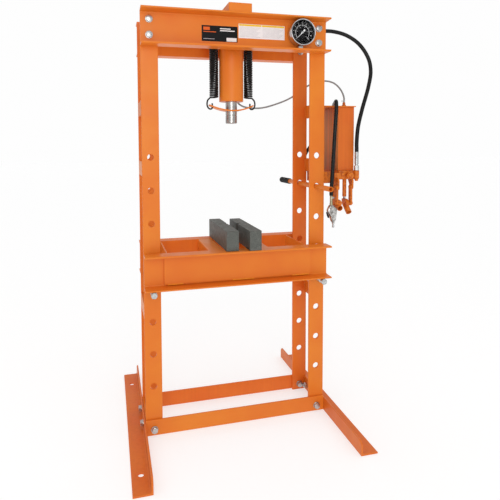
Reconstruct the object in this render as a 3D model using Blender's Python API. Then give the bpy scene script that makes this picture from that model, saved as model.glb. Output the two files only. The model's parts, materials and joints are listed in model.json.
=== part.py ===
"""Hydraulic shop press with a wall pump, built as separate named pieces.

Lengths are metres, +Z is up, the front of the press faces -Y.  Pieces are laid
out from the ram axis at floor level and then moved so that the world origin is
the centre of the press's footprint.
"""
import math

import bmesh
import bpy
from mathutils import Matrix, Vector

# ---------------------------------------------------------------- frame sizes
GAP = 0.0003                 # clearance between neighbouring pieces
HALF_WIDTH = 0.400           # ram axis to the outside of a column
HALF_DEPTH = 0.100           # ram axis to the outside of a column
COLUMN_HEIGHT = 1.748
STRIP_WIDTH = 0.070          # each column is two flat strips
STRIP_THICK = 0.010
HOLE_X = 0.365               # pin holes run up the middle of each strip
HOLE_RADIUS = 0.0137
HOLE_FIRST = 0.2085
HOLE_PITCH = 0.1362
HOLE_COUNT = 8
BATTEN_HEIGHTS = (0.520, 1.114, 1.364)
BATTEN_TALL = 0.060
FOOT_PLATE = (0.004, 0.064)

# ------------------------------------------------------------ channel sections
WEB = 0.008
FLANGE = 0.009
FLANGE_REACH = 0.062
CROSSHEAD_TOP = 1.750
CROSSHEAD_TALL = 0.143
SADDLE = (0.049, 0.158, 0.0347)
BED_TALL = 0.142
BED_GAP = 0.0205             # column face to the back of a bed channel
BED_PLATE_HALF = 0.320
BED_PLATE_THICK = 0.009
BED_END_X = 0.302
BED_SPACER_X = 0.100

# ------------------------------------------------------------------- base
FOOT_HALF_LENGTH = 0.440
FOOT_LEG = 0.058
FOOT_SPREAD = 0.072
FOOT_THICK = 0.007
ANCHOR_X = 0.437
ANCHOR_Y = 0.336
ANCHOR_RADIUS = 0.0115
SPREADER = (0.002, 0.068)
SPREADER_THICK = 0.008

# ----------------------------------------------------------------- cylinder
BARREL_RADIUS = 0.053
BARREL_BOTTOM = 1.3995
RAM_RADIUS = 0.0252
RAM_BORE = 0.0257
RAM_BOTTOM = 1.304
RAM_TOP = 1.690
MOUNT_PLATE = (0.115, 0.0995, 1.648, 1.658)
SPRING_X = 0.078
SPRING_RADIUS = 0.0169
SPRING_WIRE = 0.0034
SPRING_TURNS = 28
SPRING_LOW = 1.417
SPRING_HIGH = 1.634
YOKE_HALF_LENGTH = 0.100
YOKE_THICK = 0.006
YOKE_HOLE_X = 0.086
RETURN_PORT = (0.044, 0.052, 1.4140)

# --------------------------------------------------------------- pins, blocks
PIN_RADIUS = 0.0125
PIN_Y = (-0.185, 0.150)
PIN_HOLE = 3                 # the bed stands on pins in this row of holes
BLOCK_TALL = 0.083
HANDLE_HOLE = 6
HANDLE_RADIUS = 0.0110
HANDLE_Y = (-0.238, 0.325)
GRIP_Y = (0.217, 0.333)
GRIP_RADIUS = 0.0145

# ---------------------------------------------------------------- pump unit
TANK_X = (0.474, 0.5555)
TANK_HALF_DEPTH = 0.085
TANK_Z = (1.092, 1.378)
LID_X = (0.4045, 0.5585)
LID_HALF_DEPTH = 0.095
BLOCK_Z = (1.052, 1.0917)
LEVER_X = (0.464, 0.514)
LEVER_DROP = (16.0, 44.0)    # degrees each socket hangs below level
LEVER_PIVOTS = ((-0.120, 0.950), (-0.100, 0.944))
LINK_OFFSETS = (-0.0130, 0.0165)
LINK_THICK = 0.0084
LINK_HALF_WIDTH = 0.0105
LINK_TOP = 1.018
SOCKET_START = (-0.080, 0.940)
LEVER_SEAT = 0.962
PLUNGER_Y = -0.074
PLUNGER_RADIUS = 0.006
FITTING_X = 0.558
FITTING_Y = -0.103
FITTING_TALL = 0.084
BREATHER = (0.537, -0.020)

# ------------------------------------------------------------------- gauge
GAUGE = (0.2750, 1.6836)
GAUGE_RADIUS = 0.0566
GAUGE_DEEP = 0.049
NEEDLE_START = 225.0

# -------------------------------------------------------------------- hoses
PRESSURE_HOSE_RADIUS = 0.0087
RETURN_HOSE_RADIUS = 0.0039
AIR_HOSE_RADIUS = 0.0084
VALVE_X = 0.4225
VALVE_Y = -0.126

# --------------------------------------------------- footprint centre to ram
FOOT_OUTSIDE = HALF_WIDTH + GAP + FOOT_SPREAD
PUMP_OUTSIDE = 0.570
SHIFT = Vector(((FOOT_OUTSIDE - PUMP_OUTSIDE) / 2, 0.0, 0.0))

LOOKS = {
    "orange_paint": ((0.78, 0.20, 0.035), 0.0, 0.45),
    "dark_steel": ((0.075, 0.080, 0.070), 0.6, 0.55),
    "bright_steel": ((0.55, 0.55, 0.53), 1.0, 0.28),
    "zinc": ((0.62, 0.62, 0.60), 1.0, 0.35),
    "chrome": ((0.75, 0.75, 0.75), 1.0, 0.12),
    "black_rubber": ((0.015, 0.015, 0.016), 0.0, 0.50),
    "spring_steel": ((0.020, 0.020, 0.020), 0.7, 0.40),
    "grey_hose": ((0.30, 0.30, 0.29), 0.0, 0.35),
    "glass": ((0.90, 0.93, 0.95), 0.0, 0.05),
    "needle_white": ((0.85, 0.85, 0.85), 0.0, 0.50),
    "cast_alloy": ((0.50, 0.49, 0.46), 0.9, 0.38),
}


def clear_scene():
    """Empty the scene and make the two collections."""
    for obj in list(bpy.data.objects):
        bpy.data.objects.remove(obj, do_unlink=True)
    groups = []
    for name in ("hydraulic_shop_press", "cutting_tools"):
        group = bpy.data.collections.new(name)
        bpy.context.scene.collection.children.link(group)
        groups.append(group)
    return groups


PRESS, TOOLS = clear_scene()


def make_material(node, look):
    """One Principled material per piece."""
    colour, metallic, roughness = LOOKS[look]
    material = bpy.data.materials.new(node + "_" + look)
    material.use_nodes = True
    shader = material.node_tree.nodes["Principled BSDF"]
    shader.inputs["Base Color"].default_value = (*colour, 1.0)
    shader.inputs["Metallic"].default_value = metallic
    shader.inputs["Roughness"].default_value = roughness
    return material


# --------------------------------------------------------------- mesh makers
def on_axis(axis, a, b, along):
    """A point from two section coordinates and one along the axis."""
    if axis == "x":
        return (along, a, b)
    if axis == "y":
        return (a, along, b)
    return (a, b, along)


def prism(outline, axis, low, high):
    """Extrude a flat outline along one axis."""
    bm = bmesh.new()
    ends = []
    for along in (low, high):
        ends.append([bm.verts.new(on_axis(axis, a, b, along)) for a, b in outline])
    bm.faces.new(ends[0])
    bm.faces.new(ends[1][::-1])
    count = len(outline)
    for i in range(count):
        j = (i + 1) % count
        bm.faces.new((ends[0][j], ends[0][i], ends[1][i], ends[1][j]))
    bmesh.ops.recalc_face_normals(bm, faces=bm.faces)
    return bm


def box(low, high):
    """A plain block between two corners."""
    outline = [(low[0], low[1]), (high[0], low[1]), (high[0], high[1]), (low[0], high[1])]
    return prism(outline, "z", low[2], high[2])


def turned(profile, centre, axis, segments=32):
    """Turn a profile of (radius, position) about an axis through a centre."""
    bm = bmesh.new()
    rings = []
    for radius, along in profile:
        if radius < 1e-6:
            rings.append([bm.verts.new(on_axis(axis, centre[0], centre[1], along))])
            continue
        ring = []
        for i in range(segments):
            turn = 2 * math.pi * i / segments
            a = centre[0] + radius * math.cos(turn)
            b = centre[1] + radius * math.sin(turn)
            ring.append(bm.verts.new(on_axis(axis, a, b, along)))
        rings.append(ring)
    closed = len(rings[0]) > 1
    pairs = list(zip(rings, rings[1:]))
    if closed:
        pairs.append((rings[-1], rings[0]))
    for first, second in pairs:
        join_rings(bm, first, second)
    bmesh.ops.recalc_face_normals(bm, faces=bm.faces)
    return bm


def join_rings(bm, first, second):
    """Faces between two rings, either of which may be a single point."""
    count = max(len(first), len(second))
    for i in range(count):
        j = (i + 1) % count
        corners = [first[i % len(first)], first[j % len(first)]]
        corners += [second[j % len(second)], second[i % len(second)]]
        unique = []
        for corner in corners:
            if corner not in unique:
                unique.append(corner)
        bm.faces.new(unique)


def rod(radius, centre, axis, low, high, segments=32):
    """A plain round bar."""
    return turned([(0, low), (radius, low), (radius, high), (0, high)], centre, axis, segments)


def hexagon(across_flats, centre, axis, low, high):
    """A hexagonal bar."""
    return rod(across_flats / math.sqrt(3), centre, axis, low, high, 6)


def together(pieces):
    """Put several separate solids in one mesh."""
    result = bmesh.new()
    for piece in pieces:
        mesh = bpy.data.meshes.new("joined")
        piece.to_mesh(mesh)
        piece.free()
        result.from_mesh(mesh)
        bpy.data.meshes.remove(mesh)
    return result


def rounded_rectangle(low, high, radius, steps=3):
    """Outline of a rectangle with round corners."""
    points = []
    corners = ((high[0], high[1], 0), (low[0], high[1], 90), (low[0], low[1], 180), (high[0], low[1], 270))
    for x, y, start in corners:
        cx = x - math.copysign(radius, x - (low[0] + high[0]) / 2)
        cy = y - math.copysign(radius, y - (low[1] + high[1]) / 2)
        for step in range(steps + 1):
            turn = math.radians(start + 90 * step / steps)
            points.append((cx + radius * math.cos(turn), cy + radius * math.sin(turn)))
    return points


def channel(face, outward, low, high):
    """Section of a channel in (y, z): back of the web at face, flanges outward."""
    inner = face + outward * WEB
    tip = face + outward * FLANGE_REACH
    root = 0.006
    toe = 0.0035
    points = [(face, low), (tip - outward * toe, low), (tip, low + toe), (tip, low + FLANGE - 0.002)]
    points += [(inner + outward * root, low + FLANGE)]
    points += [(inner + outward * root * 0.3, low + FLANGE + root * 0.3), (inner, low + FLANGE + root)]
    points += [(inner, high - FLANGE - root), (inner + outward * root * 0.3, high - FLANGE - root * 0.3)]
    points += [(inner + outward * root, high - FLANGE)]
    points += [(tip, high - FLANGE + 0.002), (tip, high - toe), (tip - outward * toe, high), (face, high)]
    return points


# ------------------------------------------------------------- object makers
def finish(node, bm, look, pivot=(0, 0, 0), smooth=False):
    """Make one named piece whose origin is its pivot."""
    home = Vector(pivot)
    bmesh.ops.translate(bm, verts=bm.verts, vec=-home)
    mesh = bpy.data.meshes.new(node)
    bm.to_mesh(mesh)
    bm.free()
    obj = bpy.data.objects.new(node, mesh)
    obj.location = home + SHIFT
    PRESS.objects.link(obj)
    mesh.materials.append(make_material(node, look))
    if smooth:
        smooth_by_angle(mesh)
    return obj


def smooth_by_angle(mesh, limit=35.0):
    """Round faces shade smoothly and sharp corners stay sharp."""
    for face in mesh.polygons:
        face.use_smooth = True
    mesh.set_sharp_from_angle(angle=math.radians(limit))


def tool(bm, target, operation):
    """Cut or join with a hidden helper."""
    mesh = bpy.data.meshes.new("tool")
    bm.to_mesh(mesh)
    bm.free()
    helper = bpy.data.objects.new("tool_" + target.name, mesh)
    helper.location = SHIFT
    helper.display_type = "WIRE"
    helper.hide_render = True
    TOOLS.objects.link(helper)
    change = target.modifiers.new(operation.lower(), "BOOLEAN")
    change.operation = operation
    change.solver = "EXACT"
    change.object = helper
    return helper


def tube(node, points, radius, look, resolution=2, pivot=(0, 0, 0)):
    """A round cord or wire along a line of points."""
    curve = bpy.data.curves.new(node, "CURVE")
    curve.dimensions = "3D"
    curve.bevel_depth = radius
    curve.bevel_resolution = resolution
    curve.use_fill_caps = True
    spline = curve.splines.new("POLY")
    spline.points.add(len(points) - 1)
    for point, place in zip(spline.points, points):
        point.co = (*(Vector(place) - Vector(pivot)), 1.0)
        point.radius = 1.0
    spline.use_smooth = True
    obj = bpy.data.objects.new(node, curve)
    obj.location = Vector(pivot) + SHIFT
    PRESS.objects.link(obj)
    curve.materials.append(make_material(node, look))
    return obj


def smooth_line(route, spacing):
    """Evenly spaced points on a centripetal curve through the route points."""
    route = [Vector(p) for p in route]
    ends = [route[0] * 2 - route[1]] + route + [route[-1] * 2 - route[-2]]
    dense = [route[0]]
    for i in range(1, len(ends) - 2):
        for step in range(1, 41):
            dense.append(curve_point(ends[i - 1:i + 3], step / 40))
    lengths = [0.0]
    for a, b in zip(dense, dense[1:]):
        lengths.append(lengths[-1] + (b - a).length)
    count = max(2, round(lengths[-1] / spacing))
    points = []
    index = 0
    for k in range(count + 1):
        wanted = lengths[-1] * k / count
        while index < len(dense) - 2 and lengths[index + 1] < wanted:
            index += 1
        span = lengths[index + 1] - lengths[index]
        points.append(dense[index].lerp(dense[index + 1], (wanted - lengths[index]) / span))
    return points


def curve_point(four, part):
    """A point between the middle two of four points, centripetal spacing."""
    times = [0.0]
    for a, b in zip(four, four[1:]):
        times.append(times[-1] + max((b - a).length, 1e-6) ** 0.5)
    t = times[1] + (times[2] - times[1]) * part
    level = list(four)
    for size in (1, 2, 3):
        nearer = []
        for i in range(len(level) - 1):
            left, right = knot_span(times, i, size)
            nearer.append((level[i] * (right - t) + level[i + 1] * (t - left)) / (right - left))
        level = nearer
    return level[0]


def knot_span(times, start, size):
    """The knots either side of one blend in the centripetal curve."""
    if size == 1:
        return times[start], times[start + 1]
    if size == 2:
        return times[start], times[start + 2]
    return times[1], times[2]


# -------------------------------------------------------------------- frame
def hole_height(row):
    """Height of one row of pin holes."""
    return HOLE_FIRST + HOLE_PITCH * row


def crosshead_bolts():
    """The two heights of the crosshead bolts."""
    return (CROSSHEAD_TOP - 0.038, CROSSHEAD_TOP - 0.100)


def build_columns():
    """Two flat strips a side, drilled for the bed pins."""
    for x_name, side in (("left", -1), ("right", 1)):
        for y_name, end in (("front", -1), ("rear", 1)):
            strip = column_strip(side, end)
            obj = finish("column_" + y_name + "_" + x_name, strip, "orange_paint")
            holes = [pin_hole(side, end, row) for row in range(HOLE_COUNT)]
            if end < 0:
                holes += [bolt_hole(side, height) for height in crosshead_bolts()]
            tool(together(holes), obj, "DIFFERENCE")


def column_strip(side, end):
    """One plain strip of a column."""
    xs = sorted((side * HALF_WIDTH, side * (HALF_WIDTH - STRIP_WIDTH)))
    ys = sorted((end * HALF_DEPTH, end * (HALF_DEPTH - STRIP_THICK)))
    outline = rounded_rectangle((xs[0], ys[0]), (xs[1], ys[1]), 0.0015, 2)
    return prism(outline, "z", 0.0, COLUMN_HEIGHT)


def pin_hole(side, end, row):
    """Cutter for one pin hole."""
    middle = end * (HALF_DEPTH - STRIP_THICK / 2)
    centre = (side * HOLE_X, hole_height(row))
    return rod(HOLE_RADIUS, centre, "y", middle - 0.012, middle + 0.012, 20)


def bolt_hole(side, height):
    """Cutter for one crosshead bolt hole through web and strip."""
    return rod(0.0088, (side * HOLE_X, height), "y", -HALF_DEPTH - 0.012, -HALF_DEPTH + 0.014, 16)


def build_battens():
    """Short plates that tie the front and rear strips of each column."""
    reach = HALF_DEPTH - STRIP_THICK - GAP
    for x_name, side in (("left", -1), ("right", 1)):
        xs = sorted((side * (HALF_WIDTH - 0.0005), side * (HALF_WIDTH - 0.0085)))
        for number, height in enumerate(BATTEN_HEIGHTS, 1):
            low = (xs[0], -reach, height - BATTEN_TALL / 2)
            high = (xs[1], reach, height + BATTEN_TALL / 2)
            finish("batten_%s_%d" % (x_name, number), box(low, high), "orange_paint")
        low = (xs[0], -reach, FOOT_PLATE[0])
        high = (xs[1], reach, FOOT_PLATE[1])
        finish("foot_plate_" + x_name, box(low, high), "orange_paint")


def build_crosshead():
    """Two channels, webs against the columns, flanges outward, and the saddle."""
    low = CROSSHEAD_TOP - CROSSHEAD_TALL
    for name, outward in (("front", -1), ("rear", 1)):
        section = channel(outward * (HALF_DEPTH + GAP), outward, low, CROSSHEAD_TOP)
        bm = prism(section, "x", -HALF_WIDTH, HALF_WIDTH)
        obj = finish("crosshead_channel_" + name, bm, "orange_paint")
        if outward < 0:
            holes = [bolt_hole(side, height) for side in (-1, 1) for height in crosshead_bolts()]
            tool(together(holes), obj, "DIFFERENCE")
    half_x, half_y, tall = SADDLE
    base = CROSSHEAD_TOP + GAP
    outline = rounded_rectangle((-half_x, -half_y), (half_x, half_y), 0.004, 2)
    finish("crosshead_saddle", prism(outline, "z", base, base + tall), "orange_paint")


def build_crosshead_bolts():
    """Hexagon bolts through the front channel and strips, each with its nut."""
    face = -HALF_DEPTH - GAP - WEB
    inside = -HALF_DEPTH + STRIP_THICK
    for x_name, side in (("left", -1), ("right", 1)):
        for level, height in zip(("upper", "lower"), crosshead_bolts()):
            centre = (side * HOLE_X, height)
            bm = rod(0.0080, centre, "y", face - 0.004, inside + 0.018, 16)
            obj = finish("crosshead_bolt_%s_%s" % (x_name, level), bm, "zinc", smooth=True)
            ends = [hexagon(0.024, centre, "y", face - 0.013, face - 0.0028)]
            ends.append(hexagon(0.024, centre, "y", inside + GAP, inside + 0.0133))
            tool(together(ends), obj, "UNION")
            washer = rod(0.0148, centre, "y", face - 0.0030, face - GAP, 24)
            tool(washer, obj, "UNION")


# --------------------------------------------------------------------- base
def foot_section(side):
    """Angle section in (x, z): upright leg inboard, flat leg outward."""
    near = side * (HALF_WIDTH + GAP)
    far = side * (HALF_WIDTH + GAP + FOOT_SPREAD)
    inner = near + side * FOOT_THICK
    root = side * 0.005
    points = [(near, 0.0), (far, 0.0), (far, FOOT_THICK - 0.002), (far - side * 0.002, FOOT_THICK)]
    points += [(inner + root, FOOT_THICK), (inner + root * 0.3, FOOT_THICK + 0.0015)]
    points += [(inner, FOOT_THICK + 0.005), (inner, FOOT_LEG - 0.002), (inner - side * 0.002, FOOT_LEG)]
    points += [(near, FOOT_LEG)]
    return points


def build_base():
    """Angle feet along the depth and two flat bars across."""
    for x_name, side in (("left", -1), ("right", 1)):
        bm = prism(foot_section(side), "y", -FOOT_HALF_LENGTH, FOOT_HALF_LENGTH)
        obj = finish("foot_" + x_name, bm, "orange_paint")
        cuts = []
        for end in (-1, 1):
            centre = (side * ANCHOR_X, end * ANCHOR_Y)
            cuts.append(rod(ANCHOR_RADIUS, centre, "z", -0.01, 0.02, 24))
            cuts.append(foot_corner(side, end))
        tool(together(cuts), obj, "DIFFERENCE")
    for y_name, end in (("front", -1), ("rear", 1)):
        ys = sorted((end * (HALF_DEPTH + GAP), end * (HALF_DEPTH + GAP + SPREADER_THICK)))
        outline = rounded_rectangle((ys[0], SPREADER[0]), (ys[1], SPREADER[1]), 0.001, 1)
        finish("spreader_" + y_name, prism(outline, "x", -HALF_WIDTH, HALF_WIDTH), "orange_paint")


def foot_corner(side, end):
    """Cutter that takes the top corner off an upright foot leg."""
    tip = end * (FOOT_HALF_LENGTH + 0.001)
    back = end * (FOOT_HALF_LENGTH - 0.016)
    outline = [(tip, FOOT_LEG - 0.015), (tip, FOOT_LEG + 0.01), (back, FOOT_LEG + 0.01), (back, FOOT_LEG)]
    xs = sorted((side * (HALF_WIDTH - 0.01), side * (HALF_WIDTH + 0.02)))
    return prism(outline, "x", xs[0], xs[1])


# ----------------------------------------------------------------- cylinder
def build_cylinder():
    """Barrel with its mounting plate and ports, ram, spring yoke and springs."""
    top = CROSSHEAD_TOP
    profile = [(0, BARREL_BOTTOM), (BARREL_RADIUS - 0.002, BARREL_BOTTOM)]
    profile += [(BARREL_RADIUS, BARREL_BOTTOM + 0.002), (BARREL_RADIUS, top), (0, top)]
    body = turned(profile, (0.0, 0.0), "z", 40)
    barrel = finish("cylinder_barrel", body, "orange_paint", smooth=True)
    half_x, half_y, low, high = MOUNT_PLATE
    plate = box((-half_x, -half_y, low), (half_x, half_y, high))
    tool(plate, barrel, "UNION")
    ports = [rod(0.0115, (0.0, 1.695), "x", BARREL_RADIUS - 0.008, 0.088, 20)]
    ports.append(rod(0.0075, RETURN_PORT[:2], "z", RETURN_PORT[2], 1.445, 16))
    ports.append(port_arm())
    for port in ports:
        tool(port, barrel, "UNION")
    clear = rod(RAM_BORE, (0.0, 0.0), "z", BARREL_BOTTOM - 0.02, top - 0.03, 40)
    holes = [clear]
    for side in (-1, 1):
        holes.append(rod(0.0050, (side * SPRING_X, 0.0), "z", low - 0.01, high + 0.01, 16))
    tool(together(holes), barrel, "DIFFERENCE")
    build_ram()
    for name, side in (("left", -1), ("right", 1)):
        tube("return_spring_" + name, spring_line(side), SPRING_WIRE, "spring_steel", 1)


def port_arm():
    """Stub that carries the return port out from the barrel's back."""
    bm = rod(0.0075, (0.0, 1.438), "y", 0.030, 0.068, 16)
    turn = Matrix.Rotation(math.radians(-40), 4, "Z")
    bmesh.ops.transform(bm, matrix=turn, verts=bm.verts)
    return bm


def build_ram():
    """Ram with its screwed head, and the yoke that the springs pull."""
    head = RAM_BOTTOM + 0.036
    profile = [(0, RAM_BOTTOM), (RAM_RADIUS - 0.002, RAM_BOTTOM), (RAM_RADIUS, RAM_BOTTOM + 0.002)]
    profile += [(RAM_RADIUS, head - 0.001), (RAM_RADIUS - 0.001, head), (RAM_RADIUS - 0.001, head + 0.0015)]
    profile += [(RAM_RADIUS, head + 0.0025), (RAM_RADIUS, RAM_TOP), (0, RAM_TOP)]
    pivot = (0.0, 0.0, RAM_BOTTOM)
    finish("ram", turned(profile, (0.0, 0.0), "z", 40), "bright_steel", pivot, smooth=True)
    yoke = finish("spring_yoke", yoke_plate(), "orange_paint", pivot)
    holes = [rod(RAM_RADIUS + GAP, (0.0, 0.0), "z", 1.34, 1.40, 40)]
    for side in (-1, 1):
        holes.append(rod(0.0050, (side * YOKE_HOLE_X, 0.0), "z", 1.36, 1.40, 16))
    tool(together(holes), yoke, "DIFFERENCE")


def yoke_line(x):
    """Half depth and height of the yoke plate: narrow and bent up at its ends."""
    return (0.0330 - 2.1 * x * x, 1.3600 + 2.4 * x * x)


def yoke_plate():
    """The bent plate that the ram passes through."""
    bm = bmesh.new()
    rings = []
    steps = 16
    half = YOKE_THICK / 2
    for i in range(steps + 1):
        x = YOKE_HALF_LENGTH * (2 * i / steps - 1)
        y, z = yoke_line(x)
        corners = ((-y, -half), (y, -half), (y, half), (-y, half))
        rings.append([bm.verts.new((x, dy, z + dz)) for dy, dz in corners])
    for first, second in zip(rings, rings[1:]):
        join_rings(bm, first, second)
    bm.faces.new(rings[0])
    bm.faces.new(rings[-1])
    bmesh.ops.recalc_face_normals(bm, faces=bm.faces)
    return bm


def spring_line(side):
    """Hook round the yoke's end, close coils, and a hook through the mounting plate."""
    low_hook = [(YOKE_HOLE_X, 1.3925), (YOKE_HOLE_X, 1.3740), (0.0880, 1.3695), (0.0930, 1.3672)]
    low_hook += [(0.0990, 1.3685), (0.1050, 1.3740), (0.1085, 1.3830), (0.1088, 1.3950)]
    low_hook += [(0.1055, 1.4060), (0.0995, 1.4130)]
    points = smooth_line([(x, 0.0, z) for x, z in low_hook], 0.004)
    per_turn = 8
    total = SPRING_TURNS * per_turn
    for i in range(total + 1):
        turn = 2 * math.pi * i / per_turn
        height = SPRING_LOW + (SPRING_HIGH - SPRING_LOW) * i / total
        x = SPRING_X + SPRING_RADIUS * math.cos(turn)
        points.append(Vector((x, SPRING_RADIUS * math.sin(turn), height)))
    top_hook = [(0.0130, 1.6400), (0.0045, 1.6420), (0.0008, 1.6445), (0.0, 1.6480), (0.0, 1.6600)]
    top_hook += [(0.0025, 1.6640), (0.0080, 1.6655), (0.0125, 1.6635)]
    points += [Vector((SPRING_X + x, 0.0, z)) for x, z in top_hook]
    return [Vector((side * p.x, p.y, p.z)) for p in points]


# ---------------------------------------------------------------------- bed
def bed_base():
    """Underside of the bed, standing on the pins."""
    return hole_height(PIN_HOLE) - HOLE_RADIUS + 2 * PIN_RADIUS + 2 * GAP


def build_bed():
    """Two channels tied by end plates and spacers, with a front cover plate."""
    low = bed_base()
    high = low + BED_TALL
    pivot = (0.0, 0.0, low)
    back = HALF_DEPTH + BED_GAP
    for name, outward in (("front", -1), ("rear", 1)):
        section = channel(outward * back, outward, low, high)
        bm = prism(section, "x", -HALF_WIDTH, HALF_WIDTH)
        finish("bed_channel_" + name, bm, "orange_paint", pivot)
    face = -back - WEB - GAP
    inset = FLANGE + 0.0065
    plate_low = (-BED_PLATE_HALF, face - BED_PLATE_THICK, low + inset)
    plate_high = (BED_PLATE_HALF, face, high - inset)
    finish("bed_front_plate", box(plate_low, plate_high), "orange_paint", pivot)
    reach = back - GAP
    for x_name, side in (("left", -1), ("right", 1)):
        xs = sorted((side * BED_END_X, side * (BED_END_X + 0.006)))
        end = box((xs[0], -reach, low + 0.008), (xs[1], reach, high - 0.004))
        finish("bed_end_plate_" + x_name, end, "orange_paint", pivot)
        spacer = spacer_section(side * BED_SPACER_X, high - 0.0005)
        bm = prism(spacer, "y", -reach, reach)
        finish("bed_spacer_" + x_name, bm, "orange_paint", pivot)


def spacer_section(centre, top):
    """An upturned U in (x, z)."""
    half, wall, tall = 0.032, 0.006, 0.055
    points = [(centre - half, top - tall), (centre - half, top - 0.003), (centre - half + 0.003, top)]
    points += [(centre + half - 0.003, top), (centre + half, top - 0.003), (centre + half, top - tall)]
    points += [(centre + half - wall, top - tall), (centre + half - wall, top - wall)]
    points += [(centre - half + wall, top - wall), (centre - half + wall, top - tall)]
    return points


def build_pins():
    """Round pins through both strips of a column, under the bed."""
    height = hole_height(PIN_HOLE) - HOLE_RADIUS + PIN_RADIUS + GAP
    start, stop = PIN_Y
    small = PIN_RADIUS - 0.0025
    groove = start + 0.020
    profile = [(0, start), (small, start), (PIN_RADIUS, start + 0.0025), (PIN_RADIUS, groove)]
    profile += [(PIN_RADIUS - 0.0015, groove + 0.001), (PIN_RADIUS - 0.0015, groove + 0.004)]
    profile += [(PIN_RADIUS, groove + 0.005), (PIN_RADIUS, stop - 0.0025), (small, stop), (0, stop)]
    for name, side in (("left", -1), ("right", 1)):
        centre = (side * HOLE_X, height)
        pivot = (centre[0], start, centre[1])
        finish("bed_pin_" + name, turned(profile, centre, "y", 28), "zinc", pivot, smooth=True)


def build_arbor_blocks():
    """Two heavy steel blocks across the bed, each with a vee down its inner face."""
    base = bed_base() + BED_TALL + GAP
    sizes = (("left", (-0.066, -0.013), (-0.166, 0.178), 1), ("right", (0.031, 0.082), (-0.178, 0.162), -1))
    for name, xs, ys, inward in sizes:
        middle = (ys[0] + ys[1]) / 2 + 0.03
        inner = xs[1] if inward > 0 else xs[0]
        depth = inner - inward * 0.014
        outline = [(xs[0], ys[0]), (xs[1], ys[0]), (xs[1], ys[1]), (xs[0], ys[1])]
        vee = [(inner, middle - 0.014), (depth, middle), (inner, middle + 0.014)]
        if inward > 0:
            outline = outline[:2] + vee + outline[2:]
        else:
            outline = outline[:4] + vee[::-1]
        bm = prism(outline, "z", base, base + BLOCK_TALL)
        edges = [edge for edge in bm.edges if edge.calc_face_angle(0) > 0.5]
        bmesh.ops.bevel(bm, geom=edges, offset=0.0012, segments=1, affect="EDGES")
        finish("arbor_block_" + name, bm, "dark_steel", (inner, 0.0, base))


# -------------------------------------------------------------------- gauge
def build_gauge():
    """Pressure gauge on the front channel: case, lens, needle and stem."""
    web = -HALF_DEPTH - GAP - WEB
    back = web - GAP
    rim = GAUGE_RADIUS
    wall = rim - 0.0022
    front = back - GAUGE_DEEP
    profile = [(0, back), (wall - 0.004, back), (wall, back - 0.003), (wall, front + 0.0100)]
    profile += [(rim, front + 0.0080), (rim, front + 0.0030), (rim - 0.0030, front)]
    profile += [(rim - 0.0060, front + 0.0030), (rim - 0.0060, front + 0.0150), (0, front + 0.0150)]
    finish("gauge_case", turned(profile, GAUGE, "y", 48), "chrome", smooth=True)
    lens = rod(rim - 0.0063, GAUGE, "y", front + 0.0045, front + 0.0065, 48)
    finish("gauge_lens", lens, "glass", smooth=True)
    face = front + 0.0140
    pivot = (GAUGE[0], face, GAUGE[1])
    needle = finish("gauge_needle", needle_mesh(face), "needle_white", pivot)
    hub = rod(0.0045, GAUGE, "y", face - 0.0045, face, 24)
    tool(hub, needle, "UNION")
    floor = CROSSHEAD_TOP - CROSSHEAD_TALL + FLANGE
    stem = hexagon(0.019, (GAUGE[0] - 0.003, -0.1290), "z", floor + GAP, GAUGE[1] - wall - GAP)
    finish("gauge_stem", stem, "dark_steel")


def needle_mesh(face):
    """A tapered pointer with a broad tail, at its zero mark."""
    outline = [(0.0385, 0.0004), (0.0385, -0.0004), (0.0, -0.0022), (-0.006, -0.0022)]
    outline += [(-0.016, -0.0038), (-0.016, 0.0038), (-0.006, 0.0022), (0.0, 0.0022)]
    turn = math.radians(NEEDLE_START)
    points = []
    for a, b in outline:
        x = a * math.cos(turn) - b * math.sin(turn)
        z = a * math.sin(turn) + b * math.cos(turn)
        points.append((GAUGE[0] + x, GAUGE[1] + z))
    return prism(points, "y", face - 0.0030, face - 0.0018)


# ---------------------------------------------------------------- pump unit
def build_tank():
    """Oil tank with its lid, breather and the bracket on the column."""
    outline = rounded_rectangle((TANK_X[0], -TANK_HALF_DEPTH), (TANK_X[1], TANK_HALF_DEPTH), 0.006)
    finish("oil_tank", prism(outline, "z", *TANK_Z), "orange_paint", smooth=True)
    outline = rounded_rectangle((LID_X[0], -LID_HALF_DEPTH), (LID_X[1], LID_HALF_DEPTH), 0.003, 2)
    lid_top = TANK_Z[1] + GAP + 0.004
    lid = finish("oil_tank_lid", prism(outline, "z", TANK_Z[1] + GAP, lid_top), "orange_paint")
    near = HALF_WIDTH + GAP
    tool(box((near, -0.070, lid_top - 0.030), (near + 0.0043, 0.070, lid_top)), lid, "UNION")
    low = lid_top + GAP
    profile = [(0, low), (0.0100, low), (0.0100, low + 0.008), (0.0065, low + 0.011)]
    profile += [(0.0065, low + 0.0215), (0, low + 0.0215)]
    finish("breather", turned(profile, BREATHER, "z", 24), "orange_paint", smooth=True)
    build_bracket()


def build_bracket():
    """Folded bracket on the column, with a tray and upturned ends."""
    near = HALF_WIDTH + GAP
    obj = finish("tank_bracket", box((near, -0.055, 1.036), (near + 0.004, 0.055, 1.130)), "orange_paint")
    lip = near + 0.036
    tray = box((near + 0.001, -0.088, 1.036), (lip, 0.088, 1.040))
    front = box((near + 0.001, -0.088, 1.037), (lip, -0.084, 1.088))
    rear = box((near + 0.001, 0.084, 1.037), (lip, 0.088, 1.088))
    for piece in (tray, front, rear):
        tool(piece, obj, "UNION")


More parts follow.
